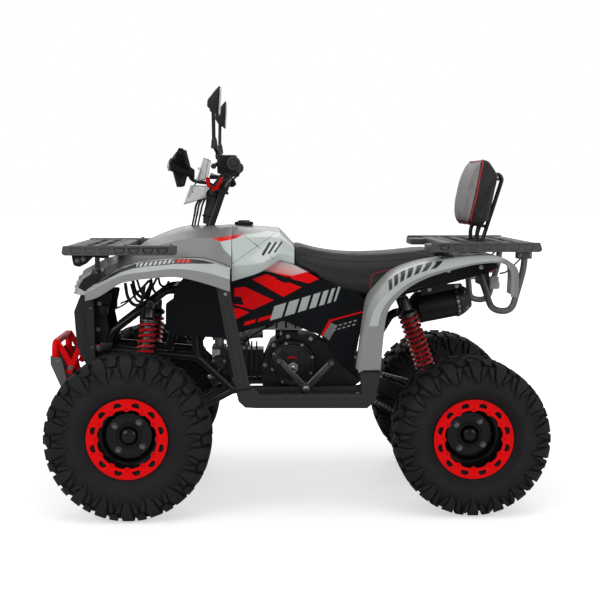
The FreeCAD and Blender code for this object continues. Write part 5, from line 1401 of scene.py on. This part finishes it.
mirrors.turned([(0, -11), (7, -9), (11, -3), (11, 3), (7, 9), (0, 11)], black_plastic,
               aimed((-238, -330, 1184), (-1, 0, 0)), 20)
mirrors.turned([(6, 0), (9, 0), (10.6, 3), (9.6, 10), (8.4, 22), (6.4, 30), (5.6, 32), (5.6, 0)], soft_rubber,
               aimed((-236.4, -287, 1072), (-0.02, -0.12, 1)), 20)
mirrors.turned([(0, 0), (9, 0), (9, 9), (7, 12), (0, 12)], cast_black, aimed((-226, -256, 1046), (0, 0, 1)), 20)
mirrors.mirror()
mirrors.done("black_plastic", "mirrors", sharp=30)

pod = Maker("lamp_pod_shell", "steering")
POD = [
    # x, half width at the foot and the top, height of the foot and the top
    (-388, 20, 34, 1017, 1042), (-383, 38, 42, 1009, 1050), (-368, 38, 42, 1004, 1047),
    (-338, 30, 34, 993, 1035), (-310, 24, 28, 987, 1014),
]
pod.rings([rounded([(x, -high, top), (x, high, top), (x, low, foot), (x, -low, foot)], 9, 4)
           for x, low, high, foot, top in POD], black_plastic)
WING_HIGH = [[(-380, 24, 1022), (-326, 24, 1006), (-322, 24, 1026), (-378, 24, 1046)],
             [(-360, 86, 1060), (-342, 86, 1058), (-338, 86, 1078), (-354, 86, 1080)]]
WING_LOW = [[(-378, 18, 1006), (-332, 18, 996), (-332, 18, 1010), (-378, 18, 1024)],
            [(-362, 64, 958), (-344, 64, 962), (-342, 64, 976), (-364, 64, 976)]]
for hand in (-1, 1):
    for wing in (WING_HIGH, WING_LOW):
        rows = [[(x, y * hand, z) for x, y, z in row] for row in wing]
        rows = [rounded(rows[0], 4, 3), rounded(rows[1], 4, 3), rounded(shrunk(rows[1], 0.8), 4, 3)]
        rows[2] = [(x, y + 1.5 * hand, z) for x, y, z in rows[2]]
        pod.rings(rows, black_plastic)
    pod.tube([(-385, hand * 34, 1036), (-372, hand * 62, 1052), (-360, hand * 82, 1066)], 2.2, tube_grey, 8, 4)
pod.turned([(17, -3), (17, 2), (15, 5), (9, 8.4), (0, 9.6)], clear, aimed((-386, 0, 1029), (-1, 0, 0.25)), 28)
pod.turned([(17.5, -4), (20, -3), (20, 1), (18, 3), (17, 1)], chrome, aimed((-386, 0, 1029), (-1, 0, 0.25)), 28)
ARM = [(-330, 0, 1006), (-318, 0, 982), (-300, 0, 976), (-264, 0, 972), (-240, 0, 954)]
pod.tube(bent(ARM, 14), 6, black_steel, 12, 1)
STRAP = [(-331.7, 926), (-318.4, 955), (-299.7, 985), (-289.2, 1015), (-285, 1015), (-295.5, 985), (-314, 955),
         (-327.5, 926)]
pod.plate([STRAP], 24, black_steel, seen_from_left(0), 0.8)
pod.done("black_plastic", "lamp_pod", sharp=30)

SCREENS = [[(-84, -274, 984), (-14, -305, 978), (14, -305, 978), (84, -274, 984),
            (84, -263, 1044), (14, -281, 1050), (-14, -281, 1050), (-84, -263, 1044)],
           [(-84, -273, 926), (-14, -344, 906), (14, -344, 906), (84, -273, 926),
            (84, -273, 962), (14, -322, 964), (-14, -322, 964), (-84, -273, 962)]]
PANES = [(0, 1, 6, 7), (1, 2, 5, 6), (2, 3, 4, 5), (15, 14, 9, 8), (14, 13, 10, 9), (13, 12, 11, 10)]
PANE_EDGES = [(i, i + 8, (i + 1) % 8 + 8, (i + 1) % 8) for i in range(8)]
screens = Maker("screen_panels", "steering")
for panel in SCREENS:
    front = [(x, y, z) for y, x, z in panel]
    back = [(x + 3, y, z) for x, y, z in front]
    screens.faces(front + back, PANES + PANE_EDGES, smoke)
    edge = [Vector((x + 1.5, y, z)) for x, y, z in front]
    screens.tube(edge, 1.3, tube_grey, 8, 1, joined=True)
    for y in (-60, 60):
        x, z = (front[0][0] + front[1][0]) / 2 - 1.5, (front[0][2] + front[6][2]) / 2
        screens.socket_bolt((x - 1, y, z), (-1, 0, 0), 4, 3, dark_steel)
screens.done("screen_clear", "windscreen", sharp=30)

fittings = Maker("column_fittings", "steering")
U_SHAPE = [(-272, 990), (-271, 967), (-261, 952), (-246, 946), (-231, 955), (-221, 974), (-217, 990), (-226, 990),
           (-232, 976), (-239, 964), (-247, 959), (-256, 963), (-262, 973), (-263, 990)]
for y in (-52, 52):
    fittings.plate([rounded(U_SHAPE, 3, 2)], 14, red_steel, seen_from_left(y), 2.0)
up = Vector((math.sin(math.radians(19)), 0, math.cos(math.radians(19))))
WRAP = [(-271, 0, 843), (-268, 0, 868), (-260, 0, 900), (-254, 0, 930), (-246, 0, 952)]
fittings.tube(WRAP, [13, 15, 16, 17, 13], soft_rubber, 20, 6)
for k in (1, 3):
    fittings.turned([(14.4, -3), (17.8, -3), (17.8, 3), (14.4, 3), (14.4, -3)], black_plastic,
                    aimed(WRAP[k], Vector(WRAP[k]) - Vector(WRAP[k - 1])), 24)
for hand in (-1, 1):
    for offset, x, radius in ((0, -298, 3.0), (9, -288, 2.6), (20, -306, 2.4)):
        cable = [(-214 - offset / 3, 150 - offset, 1000), (-254, 84 - offset, 958), (x + 6, 16 + offset * 0.8, 912),
                 (x - 4, 9 + offset * 0.6, 874), (x - 12, 7 + offset * 0.4, 838)]
        fittings.tube([(x, y * hand, z) for x, y, z in cable], radius, soft_rubber, 8, 6)
    for y in (15, 37):
        fittings.socket_bolt((-211, hand * y, 980.6), up, 4.4, 4, dark_steel)
fittings.brick((-262, -26, 984), (-226, 26, 997), black_plastic, 5)
fittings.turned([(0, 3), (14, 3), (16, 1), (16, -6), (0, -6)], cast_grey, aimed((-244, 0, 997), (0.35, 0, 1)), 28)
fittings.done("black_steel", sharp=32)


# Exhaust, engine covers and drive

exhaust = Maker("exhaust_pipe")
header = [(-252, 34, 353.7), (-252, 34, 332), (-262, 106, 341), (-226, 138, 346), (150, 138, 352), (262, 134, 430),
          (330, 132, 541), (400, 132, 559)]
exhaust.tube(bent(header, 17, 5), 14, muffler_black, 20, 1)
exhaust.turned([(14, 0), (22, 0), (22, 7), (14, 7), (14, 0)], steel, aimed((-252, 34, 345), (0, 0, 1)), 24)
can = aimed((392, 132, 557), (1, 0, 0.19))
CAN = [(0, -1), (14, -1), (17, 3), (30, 1), (41, 12), (52, 26), (52, 148), (54, 150), (54, 162), (52, 164), (52, 168),
       (44, 184), (31, 203), (17, 203.5), (17, 190), (0, 190)]
exhaust.turned(CAN, muffler_black, can, 48)
exhaust.turned([(52.2, 30), (53, 31), (53, 36), (52.2, 37), (52.2, 30)], muffler_black, can, 48)
for k in range(20):
    turn = can @ Matrix.Rotation(2 * math.pi * k / 20, 4, "Z")
    exhaust.brick((53.4, -6, 151.5), (55, 6, 160.5), steel, 0.6, turn)
    if k % 4 == 0:
        exhaust.turned([(0, 3), (3, 2.6), (4, 1), (4, 0), (0, 0)], steel,
                       turn @ aimed((43.5, 0, 184), (0.83, 0, 0.56)), 12)
exhaust.brick((430, 88, 610), (470, 118, 644), black_steel, 2)
HANGER = [(424, 604), (560, 632), (556, 646), (440, 640), (420, 620)]
exhaust.plate([rounded(HANGER, 4, 3)], 4, black_steel, seen_from_left(84), 1)
for x, z in ((450, 626), (540, 637)):
    exhaust.hex_bolt((x, 82, z), (0, -1, 0), 5.5, 4.5, steel)
exhaust.done("black_muffler", "exhaust", sharp=32)

covers = Maker("engine_covers")
left = aimed((-4, -117, 412), (0, -1, 0))
LEFT_COVER = [(69.5, -46), (69.5, -4), (67, 0), (62, 2), (60, 6), (55, 9), (53, 9.2), (51, 11), (44, 12.2), (28, 12.6),
              (0, 12.6)]
covers.turned(LEFT_COVER, cast_black, left, 56)
for u, v in circle(65, 8, turn=0.3):
    place = left @ Vector((u, v, -8))
    covers.turned([(8, -20), (8, 6), (7, 8), (0, 8)], cast_black, aimed(place, (0, -1, 0)), 20)
    covers.socket_bolt(place + Vector((0, -8, 0)), (0, -1, 0), 4.6, 4, steel)
for k in range(6):
    covers.brick((31, -2.4, 11.6), (49, 2.4, 14.4), cast_black, 1, left @ Matrix.Rotation(math.pi * k / 3, 4, "Z"))
BOSS = [(-16, -10), (0, -22), (16, -10), (16, 8), (0, 18), (-16, 8)]
covers.plate([rounded(BOSS, 5, 4)], 5, steel, left @ Matrix.Translation((2, -12, 14)), 1.4)
covers.turned([(0, 5), (6, 4.6), (8, 3), (8, 0), (0, 0)], chrome, left @ Matrix.Translation((2, -14, 15)), 24)
CHEVRON = [(-14, 0), (0, 5), (14, 0), (14, 5), (0, 10), (-14, 5)]
covers.plate([CHEVRON], 2, red_steel, left @ Matrix.Translation((0, 15, 13)), 0.4)
right = aimed((30, 117, 402), (0, 1, 0))
covers.turned([(55.5, -46), (55.5, -3), (53, 0), (46, 3), (44, 7), (24, 9), (0, 9)], cast_black, right, 48)
for u, v in circle(51, 7):
    covers.socket_bolt(right @ Vector((u, v, -1)), (0, 1, 0), 4.4, 4.5, steel)
covers.turned([(0, 8), (9, 7.4), (12, 5), (12, -4), (0, -4)], cast_grey, aimed((96, 74, 440), (0, 0.8, 0.6)), 24)
CASE = [(-95, 300), (-100, 400), (-70, 470), (-20, 500), (60, 492), (150, 440), (150, 300), (60, 288)]
for y, face in ((-66, -1), (74, 1)):
    for x, z in shrunk(CASE, 0.9):
        covers.hex_bolt((x, y, z), (0, face, 0), 5, 4.4, steel)
FIN = rounded([(-65, 345), (65, 345), (65, 463), (-65, 463)], 16, 4)
for k in range(6):
    covers.plate([FIN], 2.2, cast_black, seen_from_front(-115 - 16 * k), 0.6)
HEAD = [(-57, 352), (57, 352), (57, 456), (-57, 456)]
covers.plate([rounded(HEAD, 14, 4)], 26, cast_grey, seen_from_front(-243), 3)
covers.turned([(0, 8), (22, 7), (26, 4), (27, 0), (27, -3), (0, -3)], cast_black,
              aimed((-234, -57, 404), (0, -1, 0)), 32)
for x, z in circle(20, 3, (-234, 404), 0.5):
    covers.socket_bolt((x, -61, z), (0, -1, 0), 4, 6, steel)
covers.turned([(0, 14), (7, 13), (8.6, 10), (8.6, -2), (0, -2)], soft_rubber,
              aimed((-262, -30, 420), (-0.7, -0.5, 0.5)), 20)
PLUG_LEAD = [(-270, -36, 427), (-292, -48, 452), (-270, -64, 500), (-190, -70, 540), (-120, -66, 560)]
covers.tube(PLUG_LEAD, 3.6, soft_rubber, 10, 6)
for radius, *line in ((3.2, (-184, -60, 492), (-160, -72, 470), (-120, -74, 500), (-60, -70, 530)),
                      (4, (-206, 34, 486), (-196, 62, 470), (-150, 72, 500), (-90, 66, 560)),
                      (4, (60, -70, 470), (84, -78, 500), (70, -76, 560), (20, -70, 600))):
    covers.tube(line, radius, soft_rubber, 8, 6)
starter = aimed((-52, -40, 498), (1, 0, 0))
covers.turned([(0, -4), (17, -3), (19, 0), (19, 64), (17, 67), (0, 68)], cast_black, starter, 28)
covers.turned([(21, 10), (22, 11), (22, 16), (21, 17), (21, 10)], steel, starter, 28)
covers.done("engine_black", sharp=32)

intake = Maker("carburettor_details")
for start, radius, length in (((-256, 0, 492), 21, 6), ((-214, 0, 492), 22, 5),
                              ((-150, 0, 504.6), 31.4, 6), ((-104, 0, 509), 31.4, 6)):
    bore = radius - 1.6
    intake.turned([(bore, 0), (radius, 0.6), (radius, length - 0.6), (bore, length), (bore, 0)], steel,
                  aimed(start, (1, 0, 0.05)), 32)
intake.turned([(0, 34), (10, 33), (13, 30), (19, 28), (19, 0), (0, 0)], cast_grey, aimed((-184, 0, 518), (0, 0, 1)), 28)
intake.turned([(0, 20), (9, 19), (14, 15), (22, 12), (22, -2), (0, -2)], cast_grey,
              aimed((-184, 0, 488), (0, 0, -1)), 28)
for x, y in ((-202, -26), (-166, -26), (-202, 26), (-166, 26)):
    intake.socket_bolt((x, y, 525.6), (0, 0, 1), 3.4, 3, steel)
intake.row(4, (-82, -56, 556), (30, 0, 0),
           lambda single: single.brick((-3, -1.6, -40), (3, 1.2, 40), black_plastic, 0.8), black_plastic)
intake.done("carb_metal", sharp=32)


# Foot guards, their floors and the levers

leg = Maker("foot_guard_shells")
GUARD = [(-232, 690), (-192, 699.3), (-186, 636), (-134, 386), (-102, 360), (189, 361), (183, 428), (245, 428),
         (230, 342), (205, 320), (-114, 322), (-148, 324), (-167, 342), (-176, 379), (-223, 636)]
leg.plate([GUARD], 30, guard_grey, seen_from_left(-399), 5)
for outline in ([(-220, 676), (-200, 681), (-196, 636), (-148, 396), (-166, 388), (-214, 636)],
                [(-108, 348), (180, 349), (196, 333), (-112, 332)]):
    leg.plate([rounded(outline, 4, 3)], 3, guard_grey, seen_from_left(-414.4), 1.2)
leg.brick((-150, -386, 326), (190, -176, 332), guard_grey, 1.5)
leg.row(9, (-132, -281, 333), (36, 0, 0), lambda single: single.brick((-7, -92, -2), (7, 92, 3), guard_grey, 1.5),
        guard_grey)
leg.row(14, (-132, -281, 336), (24, 0, 0), lambda single: [single.brick((-3, y - 6, -2), (3, y + 6, 3), guard_grey, 1)
                                                           for y in range(-80, 81, 32)], guard_grey)
leg.brick((-150, -200, 328), (190, -178, 350), guard_grey, 3)
leg.socket_bolt((-203, -415.4, 654), (0, -1, 0), 5, 3, steel)
for y, seam in ((-416, [(-180, 376), (-130, 384), (-127, 380), (-179, 372)]),
                (-414.6, [(190, 432), (242, 432), (242, 426), (191, 426)])):
    leg.plate([rounded(seam, 1.5, 2)], 1.6, black_plastic, seen_from_left(y), 0.5)
for x in (-150, 150):
    leg.brick((x - 16, -210, 312), (x + 16, -92, 326), black_steel, 2)
leg.mirror()
leg.done("black_plastic", "foot_guards", sharp=30)

rests = Maker("foot_levers_flat")
FORK = [(-54, 431), (25, 341), (47, 341), (119, 420), (107, 432), (36, 360), (-41, 440)]
rests.plate([rounded(FORK, 6, 3)], 9, forged, seen_from_left(-200), 2.2)
for x, z in ((-47, 434), (112, 426)):
    rests.turned([(0, 0), (7, 0), (7, 44), (0, 44)], forged, aimed((x, -230, z), (0, 1, 0)), 20)
rests.turned([(0, 0), (12, 0), (13, 3), (13, 20), (7, 22), (7, 145.7), (0, 145.7)], forged,
             aimed((36, -212, 348), (0, 1, 0)), 24)
PEDAL = [(-74, 379), (-66, 361), (16, 339), (28, 339), (64, 307), (70, 318), (30, 353), (22, 354), (-62, 379)]
rests.plate([rounded(PEDAL, 5, 3)], 8, forged, seen_from_left(166), 2)
rests.brick((-121, 134, 368), (-71, 182, 376), forged, 2)
rests.turned([(0, 0), (9, 0), (9, 60), (12, 61), (12, 66.6), (0, 66.6)], forged,
             aimed((60, 107.4, 315), (0, 1, 0)), 24)
ribbed = [(7.2, 0)]
for k in range(6):
    ribbed += [(10, 2 + k * 6), (10, 5.6 + k * 6), (8.8, 6.2 + k * 6), (8.8, 7.8 + k * 6)]
for x, z in ((-47, 434), (112, 426)):
    rests.turned(ribbed + [(7.2, 40), (7.2, 0)], soft_rubber, aimed((x, -230, z), (0, 1, 0)), 20)
rests.hex_bolt((36, -213, 347), (0, -1, 0), 9, 6, steel)
rests.row(4, (-112, 158, 377), (11, 0, 0), lambda single: single.brick((-2, -22, -2), (2, 22, 3), forged, 0.8), forged)
rests.done("chrome_lever", "foot_levers", sharp=34)


# Chain links, calliper and the trays under the rear arches

# Sprocket centres and their pitch radii, for a pitch of 12.7 mm with 36 and 15 teeth
REAR, ENGINE = Vector((REAR_X, -40, REAR_R)), Vector((150, -40, 372))
BIG, SMALL = 6.35 / math.sin(math.pi / 36), 6.35 / math.sin(math.pi / 15)
heading = math.atan2(ENGINE.z - REAR.z, ENGINE.x - REAR.x)
spread = math.acos((BIG - SMALL) / (ENGINE - REAR).length)


def link(turn, radius=0.0):
    """Draws one link whose length runs at an angle from upright."""
    def draw(maker):
        frame = Matrix.Rotation(turn, 4, "Y") @ Matrix.Translation((radius, 0, 0))
        side = rounded([(-4.4, -10.6), (4.4, -10.6), (4.4, 10.6), (-4.4, 10.6)], 4.3, 3)
        for y in (-5.6, 5.6):
            maker.plate([side], 1.4, steel, frame @ seen_from_left(y), 0.3)
        for z in (-6.3, 6.3):
            maker.turned([(0, -7), (2.6, -7), (4, -5), (4, 5), (2.6, 7), (0, 7)], steel,
                         frame @ aimed((0, 0, z), (0, 1, 0)), 12)
    return draw


# 31 links on either run, 19 round the rear sprocket and 7 round the engine's
chain = Maker("chain_links")
for hand in (1, -1):
    out = Vector((math.cos(heading + hand * spread), 0, math.sin(heading + hand * spread)))
    start, stop = REAR + out * BIG, ENGINE + out * SMALL
    step = (stop - start) / 31
    chain.row(31, start + step / 2, step, link(math.atan2(step.x, step.z)), steel)
for centre, radius, first, last, count in ((REAR, BIG, heading + spread, heading + 2 * math.pi - spread, 19),
                                           (ENGINE, SMALL, heading - spread, heading + spread, 7)):
    step = (last - first) / count
    chain.repeated(SPIN, count, link(0.0, radius), steel, Start=centre, Step=(0.0, -step, 0.0),
                   First=-(first + step / 2))
chain.done("bare_steel", "chain", sharp=34)

trays = Maker("rear_inner_trays")
TRAY = [(300, 690), (372, 716), (455, 734), (528, 744), (600, 742), (626, 716), (604, 706), (560, 690), (470, 668),
        (380, 656), (330, 652)]
BAND = [(238, 650), (283, 657), (276, 582), (240, 582)]
trays.plate([rounded(TRAY, 5, 3)], 4, black_plastic, seen_from_left(-196), 1.2)
trays.plate([rounded(BAND, 4, 3)], 4, tube_grey, seen_from_left(-196), 1.0)
for x, z in ((360, 690), (470, 706), (570, 716)):
    trays.hex_bolt((x, -198, z), (0, -1, 0), 5.5, 4.4, steel)
trays.mirror()
for low, high in (((424, 72), (456, 91)), ((424, 105), (456, 118)), ((404, 76), (421, 118))):
    trays.brick((*low, 246), (*high, 290), cast_grey, 4)
trays.done("black_plastic", sharp=34)


# Tank cap, tail lamp and grab tubes

cap = Maker("tank_cap")
cap.turned([(0, 14), (20, 13.4), (24, 11), (28, 10.4), (28.6, 8), (28.6, 1), (0, 1)], black_plastic,
           aimed((-154, 0, 839), (0, 0, 1)), 40)
for k in range(20):
    cap.brick((27, -2, 840.5), (30, 2, 848.5), black_plastic, 0.8,
              Matrix.Translation((-154, 0, 0)) @ Matrix.Rotation(2 * math.pi * k / 20, 4, "Z"))
cap.brick((-172, -4, 850), (-136, 4, 855), black_plastic, 2)
cap.done("black_plastic", sharp=32)

tail = Maker("tail_lamp_lens")
LENS = rounded([(-75, 690), (75, 690), (75, 724), (-75, 724)], 7, 4)
BASE = rounded([(-65, 640), (65, 640), (65, 692), (-65, 692)], 8, 4)
tail.plate([LENS], 20, lamp_red, seen_from_front(622), 3)
tail.plate([BASE], 5, black_plastic, seen_from_front(614.6), 1.4)
for y in (-50, 50):
    tail.turned([(0, 4), (9, 3.4), (12, 1), (12, -2), (0, -2)], lamp_red, aimed((617, y, 664), (1, 0, 0)), 24)
    tail.socket_bolt((617, y * 0.4, 684), (1, 0, 0), 4, 3, steel)
tail.done("lamp_red", "tail_lamp", sharp=30)

tubes = Maker("grab_tube_pair")
HOOP = [(703, -200, 766), (700, -200, 712), (664, -200, 580), (604, -200, 584), (579.85, -113.05, 693.9)]
tubes.tube(bent(HOOP, 34, 8), 10, tube_grey, 18, 1)
tubes.brick((676, -216, 742), (722, -184, 769.7), rack_grey, 3)
for x in (684, 714):
    tubes.hex_bolt((x, -216, 754), (0, -1, 0), 5.5, 4, dark_steel)
tubes.tube([(690, -206, 744), (668, -214, 724), (640, -232, 704), (618, -250, 700)], 2.6, soft_rubber, 8, 5)
tubes.brick((596, -214, 650), (622, -190, 688), cast_grey, 3)
tubes.turned([(0, 8), (9, 7), (12, 4), (12, -6), (0, -6)], cast_grey, aimed((618, -202, 662), (1, 0, 0)), 24)
tubes.mirror()
tubes.done("grey_steel", "grab_tubes", sharp=32)
